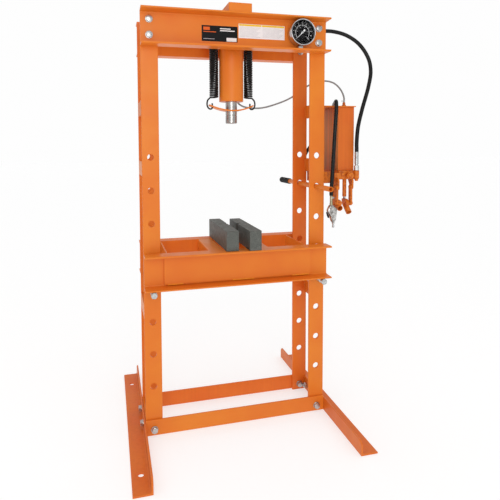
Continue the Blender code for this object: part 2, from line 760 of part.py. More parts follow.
def build_pump_block():
    """Pump casting under the tank, with links, ears and ports."""
    low, high = BLOCK_Z
    outline = rounded_rectangle((0.4742, -0.0985), (0.5560, 0.0820), 0.012)
    block = finish("pump_block", prism(outline, "z", low, high), "orange_paint", smooth=True)
    joins = [box((0.4500, -0.104, low + 0.004), (0.482, -0.050, low + 0.030))]
    nose = [(0, low - 0.008), (0.0060, low - 0.008), (0.0120, low + 0.006), (0.0120, high - 0.0004)]
    joins.append(turned(nose + [(0, high - 0.0004)], (FITTING_X, FITTING_Y), "z", 24))
    joins.append(rod(0.0165, (0.5230, 1.0710), "y", -0.1130, -0.0800, 28))
    joins.append(rod(0.0100, (0.500, 1.068), "y", 0.075, 0.098, 20))
    for x, (pivot_y, pivot_z), offset in zip(LEVER_X, LEVER_PIVOTS, LINK_OFFSETS):
        joins.append(rod(0.0090, (x, PLUNGER_Y), "z", low - 0.080, low + 0.012, 24))
        joins.append(lug(x + offset, pivot_y, low))
        joins.append(link_plate(x + offset, pivot_y, pivot_z))
        joins.append(rod(0.0068, (pivot_y, LINK_TOP), "x", x + offset - 0.0075, x + offset + 0.0115, 20))
    for piece in joins:
        tool(piece, block, "UNION")
    cuts = []
    for x, pivot, offset in zip(LEVER_X, LEVER_PIVOTS, LINK_OFFSETS):
        cuts.append(rod(PLUNGER_RADIUS + 0.0004, (x, PLUNGER_Y), "z", low - 0.09, high - 0.004, 24))
        cuts.append(rod(0.0055, pivot, "x", x + offset - 0.006, x + offset + 0.006, 20))
    tool(together(cuts), block, "DIFFERENCE")


def lug(x, pivot_y, low):
    """Tapered lug of the casting that a link is pinned to."""
    outline = [(pivot_y + 0.034, low + 0.010), (pivot_y - 0.004, low + 0.010)]
    outline += [(pivot_y - 0.013, low - 0.004), (pivot_y - 0.011, LINK_TOP - 0.006)]
    outline += [(pivot_y - 0.004, LINK_TOP - 0.011)]
    outline += [(pivot_y + 0.007, LINK_TOP - 0.009), (pivot_y + 0.013, LINK_TOP + 0.004)]
    return prism(outline, "x", x + 0.0020, x + 0.0085)


def link_plate(x, pivot_y, pivot_z):
    """Hanging link with a round eye at each end, beside the lever."""
    outline = []
    for centre_z, start in ((LINK_TOP, 180), (pivot_z, 0)):
        for step in range(9):
            turn = math.radians(start - 180 * step / 8)
            y = pivot_y + LINK_HALF_WIDTH * math.cos(turn)
            outline.append((y, centre_z + LINK_HALF_WIDTH * math.sin(turn)))
    return prism(outline, "x", x - LINK_THICK / 2, x + LINK_THICK / 2)


def build_levers():
    """Two hand levers with handle sockets, and the plungers they lift."""
    sides = ("left", "right")
    for name, x, drop, centre, offset in zip(sides, LEVER_X, LEVER_DROP, LEVER_PIVOTS, LINK_OFFSETS):
        lever = finish("pump_lever_" + name, lever_plate(x, centre), "orange_paint", (x, *centre))
        side = math.copysign(1.0, offset)
        near = x + side * 0.0050
        far = x + offset + side * 0.0080
        pin = rod(0.0050, centre, "x", min(near, far), max(near, far), 20)
        tool(pin, lever, "UNION")
        start = x + offset + side * 0.0046
        head = rod(0.0078, centre, "x", min(start, far), max(start, far), 20)
        tool(head, lever, "UNION")
        tool(socket_rod(x, drop, 0.0130, 0.006, 0.052), lever, "UNION")
        tool(socket_rod(x, drop, 0.0108, 0.016, 0.060), lever, "DIFFERENCE")
        seat = LEVER_SEAT + GAP
        plunger = rod(PLUNGER_RADIUS, (x, PLUNGER_Y), "z", seat, 1.080, 24)
        finish("pump_plunger_" + name, plunger, "bright_steel", (x, PLUNGER_Y, seat), smooth=True)


def lever_plate(x, pivot):
    """Flat lever body: flat seat behind the pivot for the plunger."""
    pivot_y, pivot_z = pivot
    outline = [(-0.0650, LEVER_SEAT), (pivot_y + 0.012, LEVER_SEAT), (pivot_y - 0.004, pivot_z + 0.0085)]
    outline += [(pivot_y - 0.0105, pivot_z), (pivot_y - 0.0085, pivot_z - 0.010)]
    outline += [(pivot_y + 0.004, 0.9300), (-0.0740, 0.9310), (-0.0650, 0.9400)]
    return prism(outline, "x", x - 0.0083, x + 0.0083)


def socket_rod(x, drop, radius, start, stop):
    """A bar along a lever's socket axis, forward and down under the pivot."""
    bm = rod(radius, (0.0, 0.0), "y", -stop, -start, 28)
    turn = Matrix.Rotation(math.radians(drop), 4, "X")
    move = Matrix.Translation((x, *SOCKET_START))
    bmesh.ops.transform(bm, matrix=move @ turn, verts=bm.verts)
    return bm


def build_hose_fitting():
    """Swivel nut and crimped ferrule at the pump end of the pressure hose."""
    centre = (FITTING_X, FITTING_Y)
    low = BLOCK_Z[1] + GAP
    obj = finish("hose_fitting", hexagon(0.0190, centre, "z", low, low + 0.024), "zinc", smooth=True)
    profile = [(0, low + 0.012), (0.0078, low + 0.012), (0.0078, low + 0.028), (0.0092, low + 0.030)]
    profile += [(0.0092, low + FITTING_TALL - 0.002), (0.0085, low + FITTING_TALL), (0, low + FITTING_TALL)]
    tool(turned(profile, centre, "z", 24), obj, "UNION")


# ------------------------------------------------------------- stored handle
def build_handle():
    """Pump handle stored through the right column, grip at the back."""
    height = hole_height(HANDLE_HOLE) - (HOLE_RADIUS - HANDLE_RADIUS - GAP)
    centre = (HOLE_X, height)
    front, rear = HANDLE_Y
    inner = HANDLE_RADIUS - 0.0022
    profile = [(inner, front), (HANDLE_RADIUS - 0.0005, front), (HANDLE_RADIUS, front + 0.0005)]
    profile += [(HANDLE_RADIUS, rear), (inner, rear)]
    pivot = (HOLE_X, 0.0, height)
    finish("pump_handle", turned(profile, centre, "y", 28), "orange_paint", pivot, smooth=True)
    start, stop = GRIP_Y
    profile = [(0, start), (GRIP_RADIUS - 0.002, start), (GRIP_RADIUS, start + 0.002)]
    profile += [(GRIP_RADIUS, stop - 0.004), (GRIP_RADIUS - 0.004, stop), (0, stop)]
    grip = finish("handle_grip", turned(profile, centre, "y", 28), "black_rubber", pivot, smooth=True)
    hollow = rod(HANDLE_RADIUS + GAP, centre, "y", start - 0.01, rear + GAP, 28)
    tool(hollow, grip, "DIFFERENCE")


# ---------------------------------------------------------------- air valve
def build_air_valve():
    """Hand valve that hangs on the air hose, and its trigger."""
    x, y = VALVE_X, VALVE_Y
    outline = [(x - 0.008, 0.944), (x - 0.012, 0.938), (x - 0.0205, 0.922), (x - 0.0205, 0.914)]
    outline += [(x - 0.010, 0.900), (x - 0.004, 0.884), (x - 0.001, 0.868), (x + 0.006, 0.862)]
    outline += [(x + 0.0165, 0.862), (x + 0.022, 0.874), (x + 0.0240, 0.896), (x + 0.0268, 0.914)]
    outline += [(x + 0.0262, 0.928), (x + 0.012, 0.936), (x + 0.008, 0.944)]
    bm = prism(outline, "y", y - 0.0105, y + 0.0105)
    edges = [edge for edge in bm.edges if edge.calc_face_angle(0) > 1.2]
    bmesh.ops.bevel(bm, geom=edges, offset=0.003, segments=2, affect="EDGES")
    valve = finish("air_valve", bm, "cast_alloy", smooth=True)
    profile = [(0, 0.940), (0.0070, 0.940), (0.0070, 0.952), (0.0060, 0.954), (0.0060, 0.984), (0, 0.984)]
    tool(turned(profile, (x, y), "z", 20), valve, "UNION")
    tip = x + 0.0105
    profile = [(0, 0.840), (0.0042, 0.840), (0.0050, 0.842), (0.0050, 0.849), (0.0042, 0.851)]
    profile += [(0.0042, 0.856), (0.0062, 0.860), (0.0062, 0.870), (0, 0.870)]
    tool(turned(profile, (tip, y), "z", 20), valve, "UNION")
    pivot = (x - 0.0200, y, 0.9100)
    outline = [(x - 0.0213, 0.9125), (x - 0.0213, 0.9040), (x - 0.0145, 0.8850), (x - 0.0105, 0.8850)]
    outline += [(x - 0.0120, 0.8960), (x - 0.0188, 0.9070)]
    trigger = prism(outline, "y", y - 0.0060, y + 0.0060)
    finish("air_valve_trigger", trigger, "black_rubber", pivot)


# -------------------------------------------------------------------- hoses
def build_hoses():
    """Pressure hose, thin return hose and air hose along their real routes."""
    top = BLOCK_Z[1] + 2 * GAP + FITTING_TALL
    x, y = FITTING_X, FITTING_Y
    route = [(x, y, top), (x, y, top + 0.015), (0.5588, -0.1010, 1.2150), (0.5660, -0.0985, 1.2853)]
    route += [(0.5915, -0.0880, 1.3667), (0.6285, -0.0780, 1.4724), (0.6442, -0.0700, 1.5435)]
    route += [(0.6379, -0.0600, 1.6025), (0.5978, -0.0480, 1.6672), (0.5402, -0.0350, 1.7080)]
    route += [(0.4758, -0.0220, 1.7260), (0.4100, -0.0140, 1.7250), (0.3200, -0.0060, 1.7120)]
    route += [(0.2200, 0.0000, 1.6990), (0.1300, 0.0000, 1.6950), (0.0883, 0.0000, 1.6950)]
    line = smooth_line(route, 0.017)
    tube("pressure_hose", line, PRESSURE_HOSE_RADIUS, "black_rubber", 3)
    px, py, pz = RETURN_PORT
    bx, by = BREATHER
    end = TANK_Z[1] + 3 * GAP + 0.0255
    route = [(px, py, pz - GAP), (px, py, pz - 0.010), (0.0560, 0.0600, 1.3935), (0.0840, 0.0680, 1.3830)]
    route += [(0.1560, 0.0780, 1.3800), (0.2400, 0.0980, 1.4000), (0.3280, 0.1160, 1.4350)]
    route += [(0.4000, 0.1180, 1.4850), (0.4460, 0.0950, 1.5080), (0.4800, 0.0600, 1.5120)]
    route += [(0.5080, 0.0250, 1.4980), (0.5280, -0.0050, 1.4640), (bx, by, 1.4270), (bx, by, end)]
    line = smooth_line(route, 0.011)
    tube("return_hose", line, RETURN_HOSE_RADIUS, "grey_hose", 2)
    x, y = VALVE_X, VALVE_Y
    route = [(x, y, 0.984 + GAP), (x, y, 1.0050), (0.4280, -0.1260, 1.0900), (0.4340, -0.1250, 1.1900)]
    route += [(0.4420, -0.1220, 1.3000), (0.4480, -0.1190, 1.3700), (0.4520, -0.1090, 1.3980)]
    route += [(0.4690, -0.0700, 1.4020), (0.5000, 0.0000, 1.4010), (0.5330, 0.0720, 1.4020)]
    route += [(0.5470, 0.1060, 1.3930), (0.5500, 0.1180, 1.3700), (0.5380, 0.1340, 1.3100)]
    route += [(0.4950, 0.1480, 1.2500), (0.4440, 0.1500, 1.1980), (0.4150, 0.1500, 1.1480)]
    route += [(0.4200, 0.1500, 1.1000)]
    route += [(0.4480, 0.1540, 1.0730), (0.4820, 0.1530, 1.0680), (0.4990, 0.1340, 1.0680)]
    route += [(0.5000, 0.1150, 1.0680), (0.5000, 0.0983, 1.0680)]
    line = smooth_line(route, 0.019)
    tube("air_hose", line, AIR_HOSE_RADIUS, "black_rubber", 3)


build_columns()
build_battens()
build_crosshead()
build_crosshead_bolts()
build_base()
build_cylinder()
build_bed()
build_pins()
build_arbor_blocks()
build_gauge()
build_tank()
build_pump_block()
build_levers()
build_hose_fitting()
build_handle()
build_air_valve()
build_hoses()
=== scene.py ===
"""The looks of a hydraulic shop press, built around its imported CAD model.

Lengths are metres in the CAD model's own frame.  Pieces are placed from the
boxes of the CAD nodes that they belong to.
"""

import json
import math

import bmesh
import bpy
from mathutils import Euler, Matrix, Vector, noise

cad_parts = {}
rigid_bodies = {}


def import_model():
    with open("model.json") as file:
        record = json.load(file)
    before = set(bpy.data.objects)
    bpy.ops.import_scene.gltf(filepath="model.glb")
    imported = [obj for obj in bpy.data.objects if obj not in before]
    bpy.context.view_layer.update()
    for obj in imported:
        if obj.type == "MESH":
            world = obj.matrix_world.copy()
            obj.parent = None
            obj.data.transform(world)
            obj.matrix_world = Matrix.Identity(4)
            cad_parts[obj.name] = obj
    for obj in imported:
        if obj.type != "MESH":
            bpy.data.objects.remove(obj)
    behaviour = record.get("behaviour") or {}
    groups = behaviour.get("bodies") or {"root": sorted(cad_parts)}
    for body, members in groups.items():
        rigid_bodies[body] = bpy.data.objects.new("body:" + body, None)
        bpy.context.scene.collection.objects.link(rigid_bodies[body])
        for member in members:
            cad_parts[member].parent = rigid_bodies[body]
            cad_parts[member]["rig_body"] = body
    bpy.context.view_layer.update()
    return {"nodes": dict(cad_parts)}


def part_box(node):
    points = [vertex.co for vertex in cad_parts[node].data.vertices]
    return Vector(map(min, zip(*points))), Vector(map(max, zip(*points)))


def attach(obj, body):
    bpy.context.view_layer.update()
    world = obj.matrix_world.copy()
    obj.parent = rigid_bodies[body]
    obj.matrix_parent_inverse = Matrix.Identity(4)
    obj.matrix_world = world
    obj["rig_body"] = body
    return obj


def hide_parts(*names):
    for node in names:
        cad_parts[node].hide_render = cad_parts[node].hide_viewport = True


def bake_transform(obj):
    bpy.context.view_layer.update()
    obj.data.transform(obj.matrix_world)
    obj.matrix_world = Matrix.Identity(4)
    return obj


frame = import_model()

IMAGE_SIDE = 500.0
SENSOR = 36.0

# ------------------------------------------------------- places from the frame
RAM = (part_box("ram")[0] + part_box("ram")[1]) / 2
RAM_X = RAM.x
HOLE_X = (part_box("bed_pin_right")[0].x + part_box("bed_pin_right")[1].x) / 2 - RAM_X
WEB = 0.008                  # thickness of each channel's web
WEB_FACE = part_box("crosshead_channel_front")[1].y - WEB
M16_FLATS = 0.024
WASHER_RADIUS = 0.0148
SPREADER_BOLT_Z = 0.028
FOOT_BOLTS = (-0.052, 0.062) # along Y
FOOT_BOLT_Z = 0.030
FOOT_THICK = 0.007
COVER_STITCHES = ((-0.307, -0.241), (-0.035, 0.063), (0.233, 0.315))
ROUND = 64                   # sides of a turned piece
PRESSURE_RADIUS = 0.0087     # half the thickness of each hose
RETURN_RADIUS = 0.0039
AIR_RADIUS = 0.0084
VALVE_X = RAM_X + 0.4225
BARREL_RADIUS = 0.053
BARREL_BORE = 0.0257
PORT_Z = 1.695               # pressure port on the barrel
PORT_END = 0.0880
MOUNT_HALF = (0.115, 0.0995) # plate that the barrel hangs from
MOUNT_Z = (1.648, 1.658)
SPRING_X = 0.078
SPRING_RADIUS = 0.0169
SPRING_WIRE = 0.0034
SPRING_TURNS = 28
SPRING_Z = (1.417, 1.634)
SPRING_HOOK = ((0.0860, 1.3925), (0.0860, 1.3740), (0.0880, 1.3695), (0.0930, 1.3672),
               (0.0990, 1.3685), (0.1050, 1.3740), (0.1085, 1.3830), (0.1088, 1.3950),
               (0.1055, 1.4060), (0.0995, 1.4130))
SPRING_END = ((0.0130, 1.6400), (0.0045, 1.6420), (0.0008, 1.6445), (0.0, 1.6480), (0.0, 1.6600),
              (0.0025, 1.6640), (0.0080, 1.6655), (0.0125, 1.6635))
DIAL_START = 225             # degrees, with a sweep of 270 clockwise
DIAL_SWEEP = 270
DIAL_NUMBERS = 10            # steps between the numbers
LABEL_RAISE = 0.00026        # print that sits on a label


# ------------------------------------------------------------- node materials
def make(tree, kind, inputs=(), **settings):
    """Add a shader node, set its options and its input values."""
    item = tree.nodes.new(kind)
    for name, value in settings.items():
        setattr(item, name, value)
    for name, value in dict(inputs).items():
        item.inputs[name].default_value = value
    return item


def start_material(name, colour, metallic, roughness):
    """A Principled material and the handles that its recipe needs."""
    material = bpy.data.materials.new(name)
    material.use_nodes = True
    tree = material.node_tree
    shader = tree.nodes["Principled BSDF"]
    shader.inputs["Base Color"].default_value = (*colour, 1.0)
    shader.inputs["Metallic"].default_value = metallic
    shader.inputs["Roughness"].default_value = roughness
    place = make(tree, "ShaderNodeTexCoord").outputs["Object"]
    return material, tree, shader, place


def scaled(tree, place, scale):
    """Texture coordinates stretched by a scale for each axis."""
    mapping = make(tree, "ShaderNodeMapping", {"Scale": scale})
    tree.links.new(place, mapping.inputs["Vector"])
    return mapping.outputs["Vector"]


def cloud(tree, place, scale, detail=4.0, rough=0.55, warp=0.0):
    """A noise value from 0 to 1."""
    values = {"Scale": scale, "Detail": detail, "Roughness": rough, "Distortion": warp}
    item = make(tree, "ShaderNodeTexNoise", values)
    tree.links.new(place, item.inputs["Vector"])
    return item.outputs["Fac"]


def spread_out(tree, value, low, high, to_low=0.0, to_high=1.0):
    """Stretch the part of a value between low and high over a new range."""
    limits = {"From Min": low, "From Max": high, "To Min": to_low, "To Max": to_high}
    item = make(tree, "ShaderNodeMapRange", limits)
    tree.links.new(value, item.inputs["Value"])
    return item.outputs["Result"]


def blend_colours(tree, share, first, second):
    """Mix two colours, each a colour value or a socket, by a share."""
    item = make(tree, "ShaderNodeMix", data_type="RGBA")
    tree.links.new(share, item.inputs[0])
    for socket, colour in ((item.inputs[6], first), (item.inputs[7], second)):
        if isinstance(colour, tuple):
            socket.default_value = (*colour, 1.0)
        else:
            tree.links.new(colour, socket)
    return item.outputs[2]


def calculate(tree, operation, first, second):
    """One arithmetic step on sockets or numbers."""
    item = make(tree, "ShaderNodeMath", operation=operation)
    for socket, value in zip(item.inputs, (first, second)):
        if isinstance(value, float):
            socket.default_value = value
        else:
            tree.links.new(value, socket)
    return item.outputs[0]


def emboss(tree, shader, height, strength, distance):
    """Drive the surface relief from a height value."""
    item = make(tree, "ShaderNodeBump", {"Strength": strength, "Distance": distance})
    tree.links.new(height, item.inputs["Height"])
    tree.links.new(item.outputs["Normal"], shader.inputs["Normal"])


def paint_material(name, tone=1.0, streaks=0.0, cast=0.0, shaded_below_x=None, red=1.0):
    """Industrial orange enamel: slight tone drift, orange peel and rubbed spots, and optionally a
    brown painted shade with painted reflection streaks on the faces at low X.
    """
    bright = (0.77 * tone, 0.215 * tone / red, 0.019 * tone)
    deep = (0.74 * tone, 0.178 * tone / red, 0.016 * tone)
    material, tree, shader, place = start_material(name, bright, 0.0, 0.36)
    drift = spread_out(tree, cloud(tree, place, 5.0, 3.0), 0.35, 0.65)
    colour = blend_colours(tree, drift, bright, deep)
    if streaks:
        upright = cloud(tree, scaled(tree, place, (60.0, 60.0, 2.2)), 1.0, 4.0)
        share = spread_out(tree, upright, 0.42, 0.70, 0.0, streaks)
        colour = blend_colours(tree, share, colour, (0.50, 0.095, 0.012))
    # Painted shade: the faces at the lowest X, given by this argument, turn brown, and the upright
    # streaks in the brown are painted reflections.
    if shaded_below_x:
        split = make(tree, "ShaderNodeSeparateXYZ")
        tree.links.new(place, split.inputs[0])
        side = spread_out(tree, split.outputs["X"], shaded_below_x + 0.0010, shaded_below_x + 0.0030, 1.0, 0.0)
        upright = cloud(tree, scaled(tree, place, (60.0, 90.0, 1.6)), 1.0, 3.0)
        shade_pale, dark = (0.62, 0.170, 0.028), (0.38, 0.150, 0.034)
        painted_shade = blend_colours(tree, spread_out(tree, upright, 0.40, 0.62), shade_pale, dark)
        colour = blend_colours(tree, side, colour, painted_shade)
    if cast:
        spots = spread_out(tree, cloud(tree, place, 75.0, 5.0, 0.65), 0.42, 0.62, 0.0, cast)
        colour = blend_colours(tree, spots, colour, (0.40, 0.070, 0.012))
    flecks = spread_out(tree, cloud(tree, place, 420.0, 2.0), 0.70, 0.78, 0.0, 0.35)
    colour = blend_colours(tree, flecks, colour, (0.90, 0.36, 0.10))
    tree.links.new(colour, shader.inputs["Base Color"])
    gloss = spread_out(tree, cloud(tree, place, 14.0, 5.0), 0.3, 0.7, 0.30, 0.44)
    tree.links.new(gloss, shader.inputs["Roughness"])
    shader.inputs["Specular IOR Level"].default_value = 0.28
    peel = cloud(tree, place, 260.0, 2.0)
    if cast:
        grain = cloud(tree, place, 190.0, 6.0, 0.7)
        emboss(tree, shader, calculate(tree, "ADD", peel, grain), 0.55, 0.0008)
    else:
        emboss(tree, shader, peel, 0.16, 0.0005)
    return material


def block_material():
    """Blackened steel plate: fine pale speckle, rubbed patches, mill marks."""
    dark = (0.090, 0.094, 0.084)
    material, tree, shader, place = start_material("blackened_steel", dark, 0.15, 0.60)
    shader.inputs["Specular IOR Level"].default_value = 0.20
    speckle = spread_out(tree, cloud(tree, place, 520.0, 3.0, 0.7), 0.50, 0.70)
    colour = blend_colours(tree, speckle, dark, (0.230, 0.236, 0.212))
    rubbed = spread_out(tree, cloud(tree, place, 22.0, 6.0, 0.6), 0.52, 0.72, 0.0, 0.55)
    colour = blend_colours(tree, rubbed, colour, (0.170, 0.175, 0.158))
    tree.links.new(colour, shader.inputs["Base Color"])
    gloss = spread_out(tree, cloud(tree, place, 60.0, 4.0), 0.3, 0.7, 0.42, 0.66)
    tree.links.new(gloss, shader.inputs["Roughness"])
    marks = cloud(tree, scaled(tree, place, (900.0, 40.0, 900.0)), 1.0, 2.0)
    rough = calculate(tree, "ADD", marks, cloud(tree, place, 300.0, 4.0))
    emboss(tree, shader, rough, 0.30, 0.0004)
    return material


def turned_steel_material():
    """Ground and polished steel with fine rings round the ram."""
    bright = (0.56, 0.545, 0.52)
    material, tree, shader, place = start_material("turned_steel", bright, 1.0, 0.24)
    rings = cloud(tree, scaled(tree, place, (2.0, 2.0, 420.0)), 1.0, 2.0, 0.5)
    bands = cloud(tree, scaled(tree, place, (2.0, 2.0, 60.0)), 1.0, 2.0)
    share = spread_out(tree, bands, 0.40, 0.62)
    colour = blend_colours(tree, share, bright, (0.44, 0.42, 0.40))
    tree.links.new(colour, shader.inputs["Base Color"])
    gloss = spread_out(tree, rings, 0.3, 0.7, 0.20, 0.30)
    tree.links.new(gloss, shader.inputs["Roughness"])
    emboss(tree, shader, rings, 0.03, 0.0002)
    return material


def plated_material(name, bright, dull, low=0.20, high=0.42, scale=120.0):
    """Plated or cast bright metal with a mottled sheen."""
    material, tree, shader, place = start_material(name, bright, 1.0, low)
    mottle = spread_out(tree, cloud(tree, place, scale, 5.0, 0.6), 0.36, 0.66)
    colour = blend_colours(tree, mottle, bright, dull)
    tree.links.new(colour, shader.inputs["Base Color"])
    gloss = spread_out(tree, cloud(tree, place, scale * 1.7, 4.0), 0.3, 0.7, low, high)
    tree.links.new(gloss, shader.inputs["Roughness"])
    emboss(tree, shader, cloud(tree, place, scale * 4.0, 3.0), 0.12, 0.0003)
    return material


def rubber_material(name, colour, dust_and_sheen_colour, rough=0.42, scale=240.0, relief=0.25):
    """Hose cover or moulded rubber: faint cloth marks, and pale patches that are partly dusty
    scuffs and partly a painted sheen.
    """
    material, tree, shader, place = start_material(name, colour, 0.0, rough)
    # Pale patches that are partly dust and partly a painted sheen on the dark rubber.
    dust = spread_out(tree, cloud(tree, place, 30.0, 5.0, 0.6), 0.48, 0.75, 0.0, 0.6)
    tint = blend_colours(tree, dust, colour, dust_and_sheen_colour)
    tree.links.new(tint, shader.inputs["Base Color"])
    gloss = spread_out(tree, cloud(tree, place, 70.0, 3.0), 0.3, 0.7, rough - 0.10, rough + 0.10)
    tree.links.new(gloss, shader.inputs["Roughness"])
    shader.inputs["Specular IOR Level"].default_value = 0.22
    emboss(tree, shader, cloud(tree, place, scale * 4.0, 2.0), relief, 0.0003)
    return material


def print_material(name, colour, tint, rough=0.38):
    """Printed vinyl: very slight mottling and a soft gloss."""
    material, tree, shader, place = start_material(name, colour, 0.0, rough)
    share = spread_out(tree, cloud(tree, place, 90.0, 4.0), 0.35, 0.7, 0.0, 0.6)
    tree.links.new(blend_colours(tree, share, colour, tint), shader.inputs["Base Color"])
    gloss = spread_out(tree, cloud(tree, place, 40.0, 3.0), 0.3, 0.7, rough - 0.08, rough + 0.08)
    tree.links.new(gloss, shader.inputs["Roughness"])
    shader.inputs["Specular IOR Level"].default_value = 0.15
    return material


def glass_material():
    """Thin clear gauge glass."""
    material, tree, shader, place = start_material("gauge_glass", (1.0, 1.0, 1.0), 0.0, 0.03)
    shader.inputs["Transmission Weight"].default_value = 1.0
    shader.inputs["IOR"].default_value = 1.12
    gloss = spread_out(tree, cloud(tree, place, 60.0, 3.0), 0.4, 0.8, 0.02, 0.06)
    tree.links.new(gloss, shader.inputs["Roughness"])
    return material


PAINT = paint_material("orange_enamel")
# The tank's left face, at its lowest X, gets a brown painted shade with streaks of painted
# reflection.
TANK_PAINT = paint_material("orange_enamel_tank", 0.94, 0.30, 0.0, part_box("oil_tank")[0].x, 1.22)
CAST_PAINT = paint_material("orange_enamel_cast", 0.95, 0.0, 0.75)
# Painted shade: a redder copy of the enamel for the rear strips, rear spreader and rear channels,
# standing in for the shade that falls on them.
REAR_SHADE_PAINT = paint_material("orange_enamel_rear_painted_shade", 1.03, 0.12, 0.0, None, 1.17)
# Painted highlight: a lighter, yellower copy of the enamel for the stitches on the bed's cover
# plate.
WELD_HIGHLIGHT_PAINT = paint_material("orange_enamel_weld_highlight", 1.12, 0.0, 0.0, None, 0.70)
# Painted shade: a redder, slightly darker copy of the enamel for the feet, standing in for the
# shade on them.
FOOT_SHADE_PAINT = paint_material("orange_enamel_foot_painted_shade", 0.95, 0.20, 0.0, None, 1.16)
BLACK_STEEL = block_material()
TURNED_STEEL = turned_steel_material()
ZINC = plated_material("zinc_plate", (0.62, 0.63, 0.62), (0.42, 0.43, 0.43), 0.22, 0.40)
CHROME = plated_material("chrome", (0.66, 0.67, 0.68), (0.44, 0.45, 0.46), 0.06, 0.16, 40.0)
ALLOY = plated_material("cast_alloy", (0.74, 0.73, 0.71), (0.17, 0.155, 0.14), 0.18, 0.36, 85.0)
OLIVE = plated_material("olive_plate", (0.46, 0.43, 0.29), (0.30, 0.28, 0.18), 0.24, 0.42)
HOSE_BLACK = rubber_material("hose_rubber", (0.005, 0.005, 0.005), (0.020, 0.020, 0.019))
AIR_BLACK = rubber_material("air_hose_rubber", (0.005, 0.006, 0.006), (0.024, 0.027, 0.028), 0.28)
GRIP_BLACK = rubber_material("grip_rubber", (0.013, 0.013, 0.013), (0.040, 0.040, 0.038), 0.55)
SPRING_BLACK = rubber_material("spring_black", (0.007, 0.007, 0.007), (0.024, 0.024, 0.023), 0.30)
HOSE_GREY = rubber_material("grey_tube", (0.27, 0.28, 0.28), (0.36, 0.36, 0.36), 0.30, 120.0, 0.08)
PRINT_BLACK = print_material("print_black", (0.004, 0.004, 0.004), (0.008, 0.008, 0.009))
PRINT_WHITE = print_material("print_white", (0.90, 0.90, 0.90), (0.82, 0.82, 0.83))
PRINT_YELLOW = print_material("print_yellow", (0.88, 0.62, 0.03), (0.80, 0.52, 0.03))
PRINT_ORANGE = print_material("print_orange", (0.80, 0.14, 0.02), (0.70, 0.11, 0.02))
PRINT_GREY = print_material("print_grey", (0.52, 0.52, 0.55), (0.44, 0.44, 0.47))
GLASS = glass_material()


# --------------------------------------------------------------- mesh helpers
def piece(name, bm, material, body, smooth=True, angle=38.0, node=None):
    """Make one named piece that rides on a body and replaces a CAD node."""
    mesh = bpy.data.meshes.new(name)
    bm.to_mesh(mesh)
    bm.free()
    obj = bpy.data.objects.new(name, mesh)
    bpy.context.scene.collection.objects.link(obj)
    mesh.materials.append(material)
    if smooth:
        for face in mesh.polygons:
            face.use_smooth = True
        mesh.set_sharp_from_angle(angle=math.radians(angle))
    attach(obj, body)
    if node:
        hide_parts(node)
    return obj


def even_normals(obj):
    """Keep large flat faces flat beside small rounded edges."""
    change = obj.modifiers.new("even_normals", "WEIGHTED_NORMAL")
    change.keep_sharp = True
    return obj


def along_axis(axis, a, b, along):
    """A point from two section coordinates and one along the axis."""
    if axis == "x":
        return Vector((along, a, b))
    if axis == "y":
        return Vector((a, along, b))
    return Vector((a, b, along))


def bridge(bm, first, second):
    """Faces between two rings, either of which may be a single point."""
    count = max(len(first), len(second))
    for i in range(count):
        j = (i + 1) % count
        corners = []
        for corner in (first[i % len(first)], first[j % len(first)],
                       second[j % len(second)], second[i % len(second)]):
            if corner not in corners:
                corners.append(corner)
        bm.faces.new(corners)


def turned(profile, centre, axis, sides=ROUND, bm=None):
    """Turn a profile of (radius, position) about an axis through a centre."""
    bm = bm or bmesh.new()
    rings = []
    for radius, along in profile:
        count = sides if radius > 1e-6 else 1
        ring = []
        for i in range(count):
            turn = 2 * math.pi * i / sides
            a = centre[0] + radius * math.cos(turn)
            b = centre[1] + radius * math.sin(turn)
            ring.append(bm.verts.new(along_axis(axis, a, b, along)))
        rings.append(ring)
    pairs = list(zip(rings, rings[1:]))
    if len(rings[0]) > 1:
        pairs.append((rings[-1], rings[0]))
    for first, second in pairs:
        if len(first) > 1 or len(second) > 1:
            bridge(bm, first, second)
    bmesh.ops.recalc_face_normals(bm, faces=bm.faces)
    return bm


def rounded_profile(points, radius, steps=3):
    """Round the corners of a turned profile, apart from points on the axis."""
    result = []
    count = len(points)
    for i, point in enumerate(points):
        here = Vector(point)
        if point[0] < 1e-6:
            result.append(point)
            continue
        before = Vector(points[i - 1]) - here
        after = Vector(points[(i + 1) % count]) - here
        reach = min(radius, before.length / 2.1, after.length / 2.1)
        first = here + before.normalized() * reach
        last = here + after.normalized() * reach
        for step in range(steps + 1):
            share = step / steps
            bend = first.lerp(here, share).lerp(here.lerp(last, share), share)
            result.append((bend.x, bend.y))
    return result


def hex_radius(flats, turn):
    """Distance from the middle of a hexagon to its side in one direction."""
    sector = (turn + math.pi / 6) % (math.pi / 3) - math.pi / 6
    return flats / 2 / math.cos(sector)


